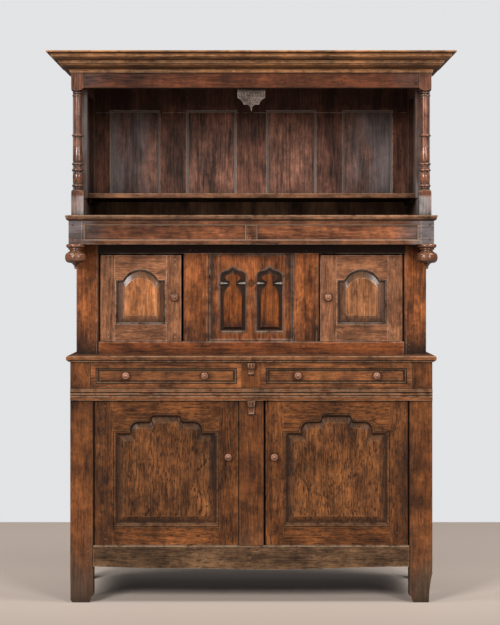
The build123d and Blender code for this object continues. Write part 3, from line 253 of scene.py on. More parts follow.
class OakSurface:
    """The shared shader group for old waxed oak, laid on one effect after another."""

    def __init__(self) -> None:
        """Build the group with its Color, Roughness and Height outputs."""
        self.tree = bpy.data.node_groups.new("WaxedOakSurface", "ShaderNodeTree")
        for kind, entries in SURFACE_INPUTS.items():
            for entry in entries:
                self.tree.interface.new_socket(socket_name(entry), in_out="INPUT",
                                               socket_type=kind)
        for name, kind in (("Color", "NodeSocketColor"), ("Roughness", "NodeSocketFloat"),
                           ("Height", "NodeSocketFloat")):
            self.tree.interface.new_socket(name, in_out="OUTPUT", socket_type=kind)
        wires = Wiring(self.tree)
        self.wires = wires
        self.given = wires.node("NodeGroupInput").outputs
        self.place = wires.node("ShaderNodeTexCoord").outputs["Object"]
        self.axes = wires.node("ShaderNodeSeparateXYZ")
        wires.feed(self.axes.inputs[0], self.place)
        self.side = wires.math("ABSOLUTE", self.axes.outputs["X"])
        self.lay_grain()
        # broad clouds and small flecks that several effects share
        self.cloud = wires.noise(self.place, 7.5, 5.0, 0.62)
        self.fleck = wires.noise(self.place, 38.0, 3.0, 0.6)
        self.cloudy = wires.math(
            "ADD", wires.math("MULTIPLY", wires.span(self.cloud, 0.36, 0.64), 0.7),
            wires.math("MULTIPLY", wires.span(self.fleck, 0.35, 0.65), 0.3))
        colour = self.pored(self.figured())
        colour = self.smoked(self.patinated(colour))
        # the last steps paint shade, shadow, sheen and highlight into the colour as well as dirt
        # and wear
        colour = self.hollowed(self.hazed_and_sheened(colour))
        colour = self.rubbed_and_sheened(self.fouled_and_shaded(colour))
        result = wires.node("NodeGroupOutput").inputs
        wires.feed(result["Color"], colour)
        wires.feed(result["Roughness"], self.gloss())
        wires.feed(result["Height"], self.height())

    def lay_grain(self) -> None:
        """Coordinates drawn out along the wood, shifted from board to board."""
        wires, given = self.wires, self.given
        cross = wires.math("MULTIPLY",
                           wires.math("GREATER_THAN", self.side, given["Cross From"]),
                           wires.math("LESS_THAN", self.side, given["Cross To"]))
        board = wires.math("FLOOR", wires.math("DIVIDE", self.axes.outputs["X"],
                                               given["Plank"]))
        level = wires.math("FLOOR", wires.math("DIVIDE", self.axes.outputs["Z"],
                                               given["Plank"]))
        seed = wires.node("ShaderNodeCombineXYZ")
        wires.feed(seed.inputs[0], wires.math("ADD", board,
                                              wires.math("MULTIPLY", cross, 7.3)))
        wires.feed(seed.inputs[1], level)
        self.scatter = wires.node("ShaderNodeTexWhiteNoise", noise_dimensions="3D")
        wires.feed(self.scatter.inputs["Vector"], seed.outputs[0])
        shift = wires.vector_math("MULTIPLY", self.scatter.outputs["Color"], (3.0, 3.0, 3.0))
        stretch = wires.mix_vector(cross, given["Grain"], given["Cross Grain"])
        self.drawn = wires.vector_math(
            "ADD", wires.vector_math("MULTIPLY", self.place, stretch), shift)
        looser = wires.vector_math(
            "ADD", wires.vector_math("MULTIPLY", stretch, (0.7, 0.7, 0.7)), (0.3, 0.3, 0.3))
        self.loose = wires.vector_math(
            "ADD", wires.vector_math("MULTIPLY", self.place, looser), shift)

    def figured(self) -> object:
        """Growth rings as contour lines of a drawn-out noise, with streaks and mottling."""
        wires, given = self.wires, self.given
        swirl = wires.noise(self.drawn, 9.0, 2.0, 0.45)
        rings = wires.span(wires.math("SINE", wires.math("MULTIPLY", swirl, RING_COUNT)),
                           -1.0, 1.0)
        self.streaks = wires.noise(self.drawn, 240.0, 4.0, 0.7)
        broad = wires.noise(self.loose, 17.0, 5.0, 0.62)
        body = wires.math(
            "ADD", wires.math("MULTIPLY", wires.span(self.streaks, 0.38, 0.62), 0.42),
            wires.math("MULTIPLY", wires.span(broad, 0.36, 0.64), 0.58))
        figure = wires.math("MULTIPLY", wires.math("SUBTRACT", rings, 0.5), given["Figure"])
        self.tone = wires.math("ADD", body, wires.math("MULTIPLY", figure, 0.45), clamp=True)
        return wires.blend(self.tone, given["Dark"], given["Light"])

    def pored(self, colour: object) -> object:
        """Dark pores and short marks along the grain, thicker in some places."""
        wires = self.wires
        pore = wires.noise(self.drawn, 430.0, 2.0, 0.6)
        mark = wires.noise(self.loose, 165.0, 2.0, 0.6)
        crowd = wires.span(wires.noise(self.place, 14.0, 2.0, 0.5), 0.35, 0.65, 0.35, 1.0)
        mask = wires.math("MAXIMUM", wires.span(pore, 0.54, 0.64),
                          wires.math("MULTIPLY", wires.span(mark, 0.53, 0.64), crowd))
        self.pore_mask = wires.math("MULTIPLY", mask, self.given["Pores"])
        return wires.blend(self.pore_mask, colour, PORE_COLOUR)

    def patinated(self, colour: object) -> object:
        """Lighter and darker clouds, and a tone of its own for each board."""
        wires = self.wires
        board_level = wires.span(self.scatter.outputs["Value"], 0.0, 1.0, 0.8, 1.15)
        level = wires.math("MULTIPLY", wires.span(self.cloudy, 0.0, 1.0, 0.35, 1.6),
                           board_level)
        share = wires.node("ShaderNodeMix", data_type="FLOAT")
        wires.feed(share.inputs[0], self.given["Patina"])
        share.inputs[2].default_value = 1.0
        wires.feed(share.inputs[3], level)
        grey = wires.node("ShaderNodeCombineColor")
        for socket in list(grey.inputs)[:3]:
            wires.feed(socket, share.outputs[0])
        return wires.blend(1.0, colour, grey.outputs[0], "MULTIPLY")

    def smoked(self, colour: object) -> object:
        """Small dark blots of old wax, gathered in patches."""
        wires = self.wires
        apart = wires.vector_math("ADD", self.loose, (4.7, 1.3, 2.9))
        blot = wires.noise(apart, 50.0, 7.0, 0.72)
        patch = wires.span(wires.noise(self.place, 9.0, 3.0, 0.6), 0.42, 0.62, 0.15, 1.0)
        smoke = wires.math("MULTIPLY",
                           wires.math("MULTIPLY", wires.span(blot, 0.51, 0.64), patch),
                           self.given["Blotch"])
        return wires.blend(smoke, colour, SMOKE_COLOUR)

    def hazed_and_sheened(self, colour: object) -> object:
        """A pale haze from one place on, measured along the finish's axis: mostly painted sheen
        and reflection, painted light on one rail, and a plain greyish tone on the feet.
        """
        wires, given = self.wires, self.given
        mirrored = wires.node("ShaderNodeCombineXYZ")
        for socket, source in zip(mirrored.inputs, (self.side, self.axes.outputs["Y"],
                                                    self.axes.outputs["Z"])):
            wires.feed(socket, source)
        self.mirrored = mirrored.outputs[0]
        reach = wires.vector_math("DOT_PRODUCT", self.mirrored, given["Bloom Axis"])
        cover = wires.span(wires.noise(self.loose, 11.0, 3.0, 0.5), 0.36, 0.56, 0.2, 1.0)
        # the haze: mostly painted sheen and painted reflection, on one rail painted light, on the
        # feet a plain tone
        bloom = wires.math("MULTIPLY",
                           wires.span(reach, given["Bloom From"], given["Bloom To"]), cover)
        haze_and_sheen_level = wires.math("ADD", wires.math("MULTIPLY", self.tone, 0.8), 0.35)
        hazed = wires.blend(haze_and_sheen_level, WAX_HAZE_AND_SHEEN_DARK, given["Bloom Colour"])
        return wires.blend(wires.math("MULTIPLY", bloom, given["Bloom"]), colour, hazed)

    def hollowed(self, colour: object) -> object:
        """A darker end along the shade axis, painted shadow on some finishes, and ground sunk
        below the face painted darker as shade.
        """
        wires, given = self.wires, self.given
        along = wires.vector_math("DOT_PRODUCT", self.mirrored, given["Shade Axis"])
        ragged = wires.math("MULTIPLY", wires.math("SUBTRACT", self.cloudy, 0.5),
                            wires.math("SUBTRACT", given["Shade To"], given["Shade From"]))
        along = wires.math("SUBTRACT", along, wires.math("MULTIPLY", ragged, 0.6))
        # a darker end along the axis: painted shadow on some finishes, a plain darker end on
        # others
        end = wires.math("MULTIPLY",
                         wires.span(along, given["Shade From"], given["Shade To"]),
                         given["Shade"])
        # sunk grounds and quirks painted darker as shade
        deep = wires.math("MULTIPLY", given["Sunk"], wires.span(
            self.axes.outputs["Y"], given["Sunk From"], given["Sunk To"]))
        deep = wires.math("MULTIPLY", deep, wires.span(self.fleck, 0.2, 0.6, 0.65, 1.0))
        return wires.blend(wires.math("MAXIMUM", end, deep), colour, HOLLOW_COLOUR)

    def shelter(self, reach: float) -> object:
        """How open a place is to the air around it, within a reach in metres."""
        made = self.wires.node("ShaderNodeAmbientOcclusion", samples=6)
        made.inputs["Distance"].default_value = reach
        return made.outputs["AO"]

    def fouled_and_shaded(self, colour: object) -> object:
        """Dirt in the corners, darkened further as painted contact shade; painted shadow under
        whatever overhangs; faces turning downwards painted darker as shade.
        """
        wires, given = self.wires, self.given
        self.crevice = self.shelter(CREVICE_REACH)
        # dirt in corners and creases, also standing in for contact shade
        open_air = wires.math("MULTIPLY", wires.span(self.crevice, 0.40, 0.96),
                              wires.span(self.fleck, 0.2, 0.8, 0.7, 1.1), clamp=True)
        dirt_and_shade = wires.math("MULTIPLY", wires.math("SUBTRACT", 1.0, open_air), given["Grime"])
        # painted shadow under whatever overhangs
        lee = wires.math("MULTIPLY",
                         wires.span(self.shelter(OVERHANG_REACH), 0.80, 0.45, 0.0, 0.85),
                         given["Grime"])
        dirt_and_shade = wires.math("MAXIMUM", dirt_and_shade, lee)
        self.flat = wires.node("ShaderNodeNewGeometry").outputs["True Normal"]
        self.facing = wires.node("ShaderNodeSeparateXYZ")
        wires.feed(self.facing.inputs[0], self.flat)
        # faces turning downwards painted darker: painted shade from the light above
        soot = wires.math("MULTIPLY", wires.span(self.facing.outputs["Z"], -0.12, -0.6),
                          given["Soot"])
        self.dirt_and_shade = wires.math("MAXIMUM", dirt_and_shade, soot)
        return wires.blend(self.dirt_and_shade, colour, DIRT_AND_SHADE_COLOUR)

    def rubbed_and_sheened(self, colour: object) -> object:
        """Arrises rubbed pale as wear, upper slopes painted paler as highlight from the light
        above, and the steep sides of mouldings painted pale as sheen.
        """
        wires, given = self.wires, self.given
        round_edge = wires.node("ShaderNodeBevel", samples=4)
        round_edge.inputs["Radius"].default_value = ARRIS_RADIUS
        bend = wires.vector_math("DOT_PRODUCT", round_edge.outputs[0], self.flat)
        # upward-facing slopes painted paler: a painted highlight from the light above
        slope = wires.math("MULTIPLY",
                           wires.span(self.facing.outputs["Z"], 0.1, 0.7, 0.0, 0.5),
                           wires.span(self.facing.outputs["Z"], 0.99, 0.9))
        edge = wires.math("MAXIMUM", wires.span(bend, 0.99, 0.84), slope)
        broken = wires.math("MULTIPLY", wires.span(self.fleck, 0.32, 0.56),
                            wires.span(self.crevice, 0.35, 0.75))
        # steep sides of mouldings painted pale: a painted sheen
        turned = wires.math("ABSOLUTE", self.facing.outputs["Y"])
        steep = wires.math("MULTIPLY", wires.span(turned, 0.93, 0.75), given["Slope"])
        edge = wires.math("MAXIMUM", wires.math("MULTIPLY", edge, broken), steep)
        return wires.blend(wires.math("MULTIPLY", edge, given["Wear"]), colour,
                           given["Wear Colour"])

    def gloss(self) -> object:
        """Roughness: duller in pores and where the dirt and the painted shade lie, a little
        sleeker in the paler clouds.
        """
        wires = self.wires
        sleek = wires.math("MULTIPLY", wires.math("SUBTRACT", self.cloudy, 0.5), -0.12)
        rough = wires.math("ADD", self.given["Roughness"], sleek)
        rough = wires.math("ADD", rough, wires.math("MULTIPLY", self.pore_mask, 0.25))
        return wires.math("ADD", rough, wires.math("MULTIPLY", self.dirt_and_shade, 0.25), clamp=True)

    def height(self) -> object:
        """Fine relief: raised grain, sunk pores and an uneven old surface."""
        wires = self.wires
        raised = wires.math("SUBTRACT", wires.math("MULTIPLY", self.streaks, 0.5),
                            wires.math("MULTIPLY", self.pore_mask, 0.9))
        return wires.math("ADD", raised, wires.math("MULTIPLY", self.cloud, 1.2))


class FinishStore:
    """Makes each finish's material once and lays it on the CAD nodes."""

    def __init__(self) -> None:
        """Build the shared group and an empty shelf of materials."""
        self.group = OakSurface().tree
        self.made: dict[str, bpy.types.Material] = {}
        self.by_node: dict[str, bpy.types.Material] = {}

    def oak(self, finish: OakFinish) -> bpy.types.Material:
        """Make the material of one oak finish.

        Args:
            finish: The finish's colours and strengths.

        Returns:
            The material.
        """
        material = bpy.data.materials.new(finish.slot + "_finish")
        material.use_nodes = True
        tree = material.node_tree
        tree.nodes.clear()
        wires = Wiring(tree)
        surface = wires.node("ShaderNodeGroup", node_tree=self.group)
        for kind, entries in SURFACE_INPUTS.items():
            for entry in entries:
                value = getattr(finish, entry)
                if isinstance(value, Grain):
                    value = value.value
                if kind == "NodeSocketColor":
                    value = (*value, 1.0)
                surface.inputs[socket_name(entry)].default_value = value
        shader = wires.node("ShaderNodeBsdfPrincipled")
        shader.inputs["Coat Weight"].default_value = finish.coat
        shader.inputs["Coat Roughness"].default_value = finish.coat_roughness
        shader.inputs["Specular IOR Level"].default_value = OAK_SPECULAR
        bump = wires.node("ShaderNodeBump")
        bump.inputs["Strength"].default_value = BUMP_STRENGTH
        bump.inputs["Distance"].default_value = BUMP_DEPTH
        wires.feed(bump.inputs["Height"], surface.outputs["Height"])
        wires.feed(shader.inputs["Normal"], bump.outputs[0])
        wires.feed(shader.inputs["Base Color"], surface.outputs["Color"])
        wires.feed(shader.inputs["Roughness"], surface.outputs["Roughness"])
        sheet = wires.node("ShaderNodeOutputMaterial")
        wires.feed(sheet.inputs["Surface"], shader.outputs[0])
        for name in finish.nodes:
            self.by_node[name] = material
        if not finish.nodes:
            self.made[finish.slot] = material
        return material

    def iron(self, slot: str) -> bpy.types.Material:
        """Make the dark forged iron of the hinge pins."""
        material = bpy.data.materials.new(slot + "_finish")
        material.use_nodes = True
        shader = material.node_tree.nodes["Principled BSDF"]
        shader.inputs["Base Color"].default_value = (0.06, 0.058, 0.056, 1.0)
        shader.inputs["Metallic"].default_value = 0.9
        shader.inputs["Roughness"].default_value = 0.55
        self.made[slot] = material
        return material

    def dress(self, nodes: dict[str, bpy.types.Object], slots: dict[str, str]) -> None:
        """Assign each CAD node the material of its slot.

        Args:
            nodes: The frame's node objects.
            slots: Node name to slot name.
        """
        for name, piece in nodes.items():
            material = self.by_node.get(name, self.made[slots[name]])
            if not piece.material_slots:
                piece.data.materials.append(material)
            for held in piece.material_slots:
                held.material = material
            log.info("dressed %s in %s", name, material.name)


# ---------------------------------------------------------------- finishes
# In every finish the amounts for corner dirt, for downward faces, for rubbed edges, for steep
# slopes and for sunk grounds also set painted shade, painted shadow, painted sheen and painted
# highlight.
FINISHES: tuple[OakFinish, ...] = (
    # the cornice's downward faces painted dark as shade; its pale edge colour also paints sheen
    OakFinish("oak_cornice", (0.792, 0.33, 0.116), (0.081, 0.03, 0.011), Grain.ACROSS, figure=0.3,
              grime=1.0, soot=0.8, wear=1.0, wear_colour=(0.62, 0.38, 0.2), roughness=0.4,
              coat=0.3),
    OakFinish("oak_top", (0.264, 0.097, 0.048), (0.025, 0.009, 0.006), figure=0.4, wear=0.6,
              wear_colour=(0.5, 0.36, 0.27), roughness=0.34, coat=0.4, slope=0.3),
    # the columns' lower blocks painted pale grey: a painted sheen
    OakFinish("oak_top", (0.374, 0.143, 0.077), (0.031, 0.011, 0.006), figure=0.3, grime=0.9,
              wear=0.6, wear_colour=(0.55, 0.36, 0.25), roughness=0.3, coat=0.9,
              coat_roughness=0.15, bloom=0.85, bloom_colour=(0.6, 0.54, 0.52),
              bloom_axis=(0.0, 0.0, -1.0), bloom_from=-1.462, bloom_to=-1.452,
              nodes=("top_columns",)),
    # the frieze painted grey towards its ends: a painted sheen
    OakFinish("oak_top", (0.22, 0.066, 0.025), (0.025, 0.007, 0.004), Grain.ACROSS, figure=0.4,
              wear=0.6, wear_colour=(0.45, 0.27, 0.17), roughness=0.4, coat=0.12, bloom=0.35,
              bloom_from=0.5, bloom_to=0.62, nodes=("top_frieze",)),
    OakFinish("oak_top", (0.418, 0.182, 0.088), (0.056, 0.022, 0.011), Grain.ACROSS, figure=0.3,
              wear=0.9, wear_colour=(0.52, 0.35, 0.22), roughness=0.38,
              nodes=("canopy_board", "plate_shelf")),
    # the rail under the shelf painted pale orange as light, the top rail painted darker as the
    # frieze's shadow, sunk panels painted darker as shade, steep sides pale as sheen
    OakFinish("oak_top_back", (0.33, 0.132, 0.083), (0.025, 0.011, 0.007), grime=0.35, wear=1.0,
              wear_colour=(0.62, 0.53, 0.46), roughness=0.38, coat=0.3, slope=0.55, bloom=0.9,
              bloom_colour=(1.0, 0.5, 0.25), bloom_axis=(0.0, 0.0, -1.0), bloom_from=-1.463,
              bloom_to=-1.455, shade=0.6, shade_axis=(0.0, 0.0, 1.0), shade_from=1.77,
              shade_to=1.83, sunk=0.9, sunk_from=0.2735, sunk_to=0.275),
    # the outer parts of the back panels painted grey: a painted sheen
    OakFinish("oak_top_panel", (0.484, 0.209, 0.132), (0.037, 0.016, 0.011), figure=0.6, wear=0.9,
              wear_colour=(0.85, 0.72, 0.62), roughness=0.34, coat=0.4, bloom=0.85,
              bloom_colour=(0.34, 0.285, 0.28), bloom_from=0.36, bloom_to=0.44),
    # the side frames' front edges painted pale: a painted reflection
    OakFinish("oak_top", (0.264, 0.097, 0.048), (0.025, 0.009, 0.006), figure=0.4, wear=0.6,
              wear_colour=(0.5, 0.36, 0.27), roughness=0.34, coat=0.4, slope=0.3, bloom=0.65,
              bloom_colour=(0.62, 0.56, 0.54), bloom_axis=(0.0, -1.0, 0.0), bloom_from=0.04,
              bloom_to=0.12, nodes=("top_side_frames",)),
    OakFinish("oak_plaque", (0.308, 0.231, 0.193), (0.043, 0.031, 0.026), Grain.ACROSS, figure=0.2,
              wear=0.9, wear_colour=(0.55, 0.44, 0.37), roughness=0.6, coat=0.0),
    # the canopy's end blocks painted grey as sheen, its steep sides pale as sheen, its sunk ground
    # darker as shade
    OakFinish("oak_canopy", (0.319, 0.119, 0.051), (0.037, 0.013, 0.006), Grain.ACROSS, figure=0.4,
              wear=0.8, wear_colour=(0.58, 0.4, 0.28), roughness=0.38, slope=0.8, bloom=0.8,
              bloom_colour=(0.27, 0.245, 0.25), bloom_from=0.55, bloom_to=0.615, sunk=0.8,
              sunk_from=-0.2225, sunk_to=-0.22),
    # the frieze panels painted grey towards their ends: a painted sheen
    OakFinish("oak_canopy", (0.407, 0.141, 0.057), (0.043, 0.014, 0.007), Grain.ACROSS, figure=0.4,
              patina=0.9, wear=0.8, wear_colour=(0.55, 0.38, 0.26), roughness=0.38, bloom=0.6,
              bloom_from=0.5, nodes=("frieze_panels",)),
    OakFinish("oak_canopy", (0.44, 0.171, 0.083), (0.062, 0.022, 0.011), figure=0.3, grime=0.6,
              wear=0.6, roughness=0.32, coat=0.9, coat_roughness=0.14, nodes=("turned_drops",)),
    OakFinish("oak_middle", (0.594, 0.183, 0.052), (0.068, 0.02, 0.007), figure=0.4, patina=0.9,
              wear=0.7, wear_colour=(0.6, 0.42, 0.3), roughness=0.38, shade=0.85, shade_from=-1.04,
              shade_to=-0.9, sunk=0.8, sunk_from=-0.1192, sunk_to=-0.1165),
    # the top rail painted near black: the painted shadow under the canopy
    OakFinish("oak_middle", (0.506, 0.143, 0.04), (0.056, 0.015, 0.006), Grain.ACROSS, figure=0.4,
              patina=0.9, wear=0.8, wear_colour=(0.6, 0.42, 0.3), roughness=0.38, shade=0.94,
              shade_axis=(0.0, 0.0, 1.0), shade_from=1.235, shade_to=1.252,
              nodes=("mid_front_rails",)),
    OakFinish("oak_middle", (0.638, 0.2, 0.061), (0.074, 0.022, 0.009), figure=0.4, wear=0.8,
              wear_colour=(0.52, 0.38, 0.29), roughness=0.36, slope=0.12, shade=0.85,
              shade_axis=(1.0, 0.0, 0.0), shade_from=0.12, shade_to=0.142, sunk=0.7,
              sunk_from=-0.1128, sunk_to=-0.1105, nodes=("centre_frame",)),
    OakFinish("oak_middle", (0.462, 0.132, 0.028), (0.056, 0.014, 0.004), figure=0.7,
              roughness=0.36, coat=0.25, shade=0.8, shade_from=-1.02, shade_to=-0.965, sunk=0.96,
              sunk_from=-0.1113, sunk_to=-0.1085, nodes=("centre_panels",)),
    OakFinish("oak_upper_door", (0.55, 0.226, 0.103), (0.105, 0.041, 0.019), cross_from=0.309,
              cross_to=0.498, wear=0.9, wear_colour=(0.68, 0.52, 0.42), roughness=0.36, coat=0.3,
              sunk=0.85, sunk_from=-0.1164, sunk_to=-0.1138),
    OakFinish("oak_upper_panel", (0.836, 0.319, 0.116), (0.136, 0.045, 0.016), figure=0.8,
              patina=0.35, grime=0.9, wear=0.8, wear_colour=(0.8, 0.5, 0.28), roughness=0.34,
              coat=0.6, coat_roughness=0.2, sunk=0.72, sunk_from=-0.1147, sunk_to=-0.1105),
    # a darker, greyer copy of the upper panel finish: painted shade and sheen for the right door
    OakFinish("oak_upper_panel", (0.635, 0.262, 0.107), (0.136, 0.045, 0.016), figure=0.8,
              patina=0.35, grime=0.9, wear=0.8, wear_colour=(0.8, 0.5, 0.28), roughness=0.34,
              coat=0.6, coat_roughness=0.2, sunk=0.72, sunk_from=-0.1147, sunk_to=-0.1105,
              nodes=("upper_right_door_panel",)),
    # here the haze is a plain grey-brown tone towards the feet; the base also darkens towards the
    # floor
    OakFinish("oak_base", (0.275, 0.091, 0.024), (0.05, 0.015, 0.006), figure=0.4, patina=0.9,
              wear=0.6, blotch=0.4, bloom=0.95, bloom_colour=(0.165, 0.098, 0.058),
              bloom_axis=(0.0, 0.0, -1.0), bloom_from=-0.3, bloom_to=-0.06, shade=0.35,
              shade_from=-0.3, shade_to=0.0, sunk=0.8, sunk_from=-0.2242, sunk_to=-0.2215),
    OakFinish("oak_base", (0.396, 0.145, 0.053), (0.046, 0.017, 0.007), Grain.ACROSS, figure=0.3,
              wear=0.9, wear_colour=(0.52, 0.35, 0.22), roughness=0.42,
              nodes=("base_moulding", "base_top_board")),
    OakFinish("oak_base", (0.374, 0.132, 0.051), (0.05, 0.017, 0.008), figure=0.3, wear=1.0,
              wear_colour=(0.5, 0.36, 0.26), roughness=0.42, nodes=("corbels",)),
    OakFinish("oak_base_rail", (0.242, 0.13, 0.062), (0.034, 0.017, 0.009), Grain.ACROSS,
              figure=0.35, pores=0.7, wear=0.9, wear_colour=(0.45, 0.32, 0.22), roughness=0.55,
              coat=0.1, blotch=0.8),
    OakFinish("oak_drawer", (0.528, 0.185, 0.059), (0.062, 0.021, 0.008), Grain.ACROSS, patina=0.8,
              grime=0.9, wear=0.8, roughness=0.42, coat=0.25, sunk=0.9, sunk_from=-0.2236,
              sunk_to=-0.2215),
    OakFinish("oak_lower_door", (0.297, 0.101, 0.028), (0.056, 0.019, 0.006), cross_from=0.1155,
              cross_to=0.496, pores=0.85, patina=0.8, wear=0.7, roughness=0.46, coat=0.12,
              blotch=0.4, shade=0.4, shade_axis=(1.0, 0.0, 0.0), shade_from=0.47, shade_to=0.55,
              sunk=0.85, sunk_from=-0.2213, sunk_to=-0.2188),
    OakFinish("oak_lower_panel", (0.324, 0.118, 0.035), (0.065, 0.022, 0.007), pores=1.0,
              patina=0.8, wear=0.7, roughness=0.46, coat=0.15, blotch=0.45, sunk=0.6,
              sunk_from=-0.2196, sunk_to=-0.214),
    OakFinish("oak_side", (0.308, 0.108, 0.037), (0.043, 0.015, 0.006), figure=0.45,
              roughness=0.42),
    OakFinish("oak_knob", (0.55, 0.231, 0.127), (0.124, 0.046, 0.025), Grain.BACK, figure=0.2,
              pores=0.35, grime=0.35, wear=0.6, wear_colour=(0.7, 0.42, 0.28), roughness=0.3,
              coat=1.0, coat_roughness=0.22),
    OakFinish("oak_inner", (0.264, 0.154, 0.083), (0.056, 0.031, 0.017), pores=0.6, wear=0.1,
              roughness=0.7, coat=0.0, blotch=0.25),
)


KNOT_FINISH = OakFinish("oak_middle", (0.34, 0.100, 0.036), (0.08, 0.026, 0.012),
                        grime=1.0, wear=0.6, nodes=("muntin_knot",))
# the cusps' pale tone partly stands in for their highlight: a painted highlight
CUSP_FINISH = OakFinish("oak_middle", (0.66, 0.58, 0.52), (0.34, 0.28, 0.24), pores=0.2,
                        grime=0.4, wear=0.3, roughness=0.3, coat=0.7, blotch=0.1,
                        nodes=("arch_cusps",))


# ---------------------------------------------------------------- meshes
def add_mesh(name: str, points: list[Point], faces: list[tuple[int, ...]],
             material: bpy.types.Material) -> bpy.types.Object:
    """Add a mesh object at the origin.

    Args:
        name: Name of the piece.
        points: Corners, in metres.
        faces: Corner indices of each face.
        material: Its finish.

    Returns:
        The new object.
    """
    mesh = bpy.data.meshes.new(name)
    mesh.from_pydata(points, [], faces)
    mesh.materials.append(material)
    mesh.update()
    made = bpy.data.objects.new(name, mesh)
    bpy.context.scene.collection.objects.link(made)
    return made


def made_real(seed: bpy.types.Object, name: str) -> bpy.types.Object:
    """Turn a seed of points and its modifier into one plain mesh object.

    Args:
        seed: The object with the points; it is removed.
        name: Name of the piece.

    Returns:
        The finished piece, at the origin.
    """
    graph = bpy.context.evaluated_depsgraph_get()
    mesh = bpy.data.meshes.new_from_object(seed.evaluated_get(graph))
    piece = bpy.data.objects.new(name, mesh)
    bpy.context.scene.collection.objects.link(piece)
    bpy.data.objects.remove(seed)
    return piece


class ScatterTree:
    """Geometry nodes that set one small form on every point, as a real painted mesh."""

    def __init__(self, name: str, material: bpy.types.Material, *sizes: str) -> None:
        """Build what every kind shares; each kind adds its form, turn and scale.

        Args:
            name: Name of the tree.
            material: Finish of the forms.
            sizes: Names of the tree's own number inputs.
        """
        self.tree = bpy.data.node_groups.new(name, "GeometryNodeTree")
        face = self.tree.interface
        face.new_socket("Points", in_out="INPUT", socket_type="NodeSocketGeometry")
        self.keys = [face.new_socket(size, in_out="INPUT",
                                     socket_type="NodeSocketFloat").identifier
                     for size in sizes]
        face.new_socket("Forms", in_out="OUTPUT", socket_type="NodeSocketGeometry")
        wires = Wiring(self.tree)
        self.wires = wires
        self.given = wires.node("NodeGroupInput").outputs
        spread = wires.node("GeometryNodeInstanceOnPoints")
        self.spread = spread.inputs
        solid = wires.node("GeometryNodeRealizeInstances")
        paint = wires.node("GeometryNodeSetMaterial")
        self.paint = paint.inputs["Material"]
        self.paint.default_value = material
        result = wires.node("NodeGroupOutput")
        wires.feed(self.spread["Points"], self.given["Points"])
        wires.feed(solid.inputs["Geometry"], spread.outputs["Instances"])
        wires.feed(paint.inputs["Geometry"], solid.outputs["Geometry"])
        wires.feed(result.inputs["Forms"], paint.outputs["Geometry"])


class PegTree(ScatterTree):
    """A slightly proud, slightly turned oak peg on every point."""

    def __init__(self, material: bpy.types.Material) -> None:
        """Build the tree in the given finish."""
        super().__init__("OakPegs", material, "Peg Radius", "Peg Length")
        self.radius_key, self.length_key = self.keys
        wires = self.wires
        peg = wires.node("GeometryNodeMeshCone")
        wires.feed(peg.inputs["Vertices"], 9)
        wires.feed(peg.inputs["Radius Bottom"], self.given["Peg Radius"])
        wires.feed(peg.inputs["Radius Top"],
                   wires.math("MULTIPLY", self.given["Peg Radius"], 0.82))
        wires.feed(peg.inputs["Depth"], self.given["Peg Length"])
        wires.feed(self.spread["Instance"], peg.outputs["Mesh"])
        turn = wires.node("FunctionNodeRandomValue", data_type="FLOAT_VECTOR")
        wires.feed(turn.inputs[0], (math.pi / 2, 0.0, 0.0))
        wires.feed(turn.inputs[1], (math.pi / 2, 1.2, 0.0))
        wires.feed(turn.inputs["Seed"], 4)
        wires.feed(self.spread["Rotation"], turn.outputs[0])
        size = wires.node("FunctionNodeRandomValue", data_type="FLOAT")
        wires.feed(size.inputs[2], 0.8)
        wires.feed(size.inputs[3], 1.15)
        wires.feed(size.inputs["Seed"], 9)
        wires.feed(self.spread["Scale"], size.outputs[1])


class CarvingTree(ScatterTree):
    """A rounded leaf on every point, turned and sized by the points' attributes."""

    def __init__(self, name: str, material: bpy.types.Material) -> None:
        """Build the tree under the given name and in the given finish."""
        super().__init__(name, material)
        wires = self.wires
        leaf = wires.node("GeometryNodeMeshUVSphere")
        wires.feed(leaf.inputs["Segments"], 10)
        wires.feed(leaf.inputs["Rings"], 6)
        wires.feed(leaf.inputs["Radius"], 1.0)
        wires.feed(self.spread["Instance"], leaf.outputs["Mesh"])
        tilt = wires.node("GeometryNodeInputNamedAttribute", data_type="FLOAT")
        wires.feed(tilt.inputs["Name"], "tilt")
        turn = wires.node("ShaderNodeCombineXYZ")
        wires.feed(turn.inputs["Y"], tilt.outputs["Attribute"])
        wires.feed(self.spread["Rotation"], turn.outputs["Vector"])
        size = wires.node("GeometryNodeInputNamedAttribute", data_type="FLOAT_VECTOR")
        wires.feed(size.inputs["Name"], "size")
        wires.feed(self.spread["Scale"], size.outputs["Attribute"])


@dataclass
class Carving:
    """Low relief cut on one face: leaves as (x, z, tilt in degrees, width, height) in metres."""

    name: str
    slot: str
    face: float
    relief: float
    leaves: list[Leaf]

    def build(self, material: bpy.types.Material) -> bpy.types.Object:
        """Set the leaves and turn them into a plain mesh.

        Args:
            material: Finish of the carving.

        Returns:
            The finished piece.
        """
        seed = add_mesh(self.name + "_places",
                        [(x, self.face, z) for x, z, *_ in self.leaves], [], material)
        tilt = seed.data.attributes.new("tilt", "FLOAT", "POINT")
        size = seed.data.attributes.new("size", "FLOAT_VECTOR", "POINT")
        for index, (_, _, angle, wide, high) in enumerate(self.leaves):
            tilt.data[index].value = math.radians(angle)
            size.data[index].vector = (wide / 2, self.relief, high / 2)
        cut = seed.modifiers.new("carving", "NODES")
        cut.node_group = CarvingTree(self.name + "_leaves", material).tree
        piece = made_real(seed, self.name)
        piece.data.shade_smooth()
        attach(piece, "carcass")
        log.info("carved %s with %d leaves", self.name, len(self.leaves))
        return piece


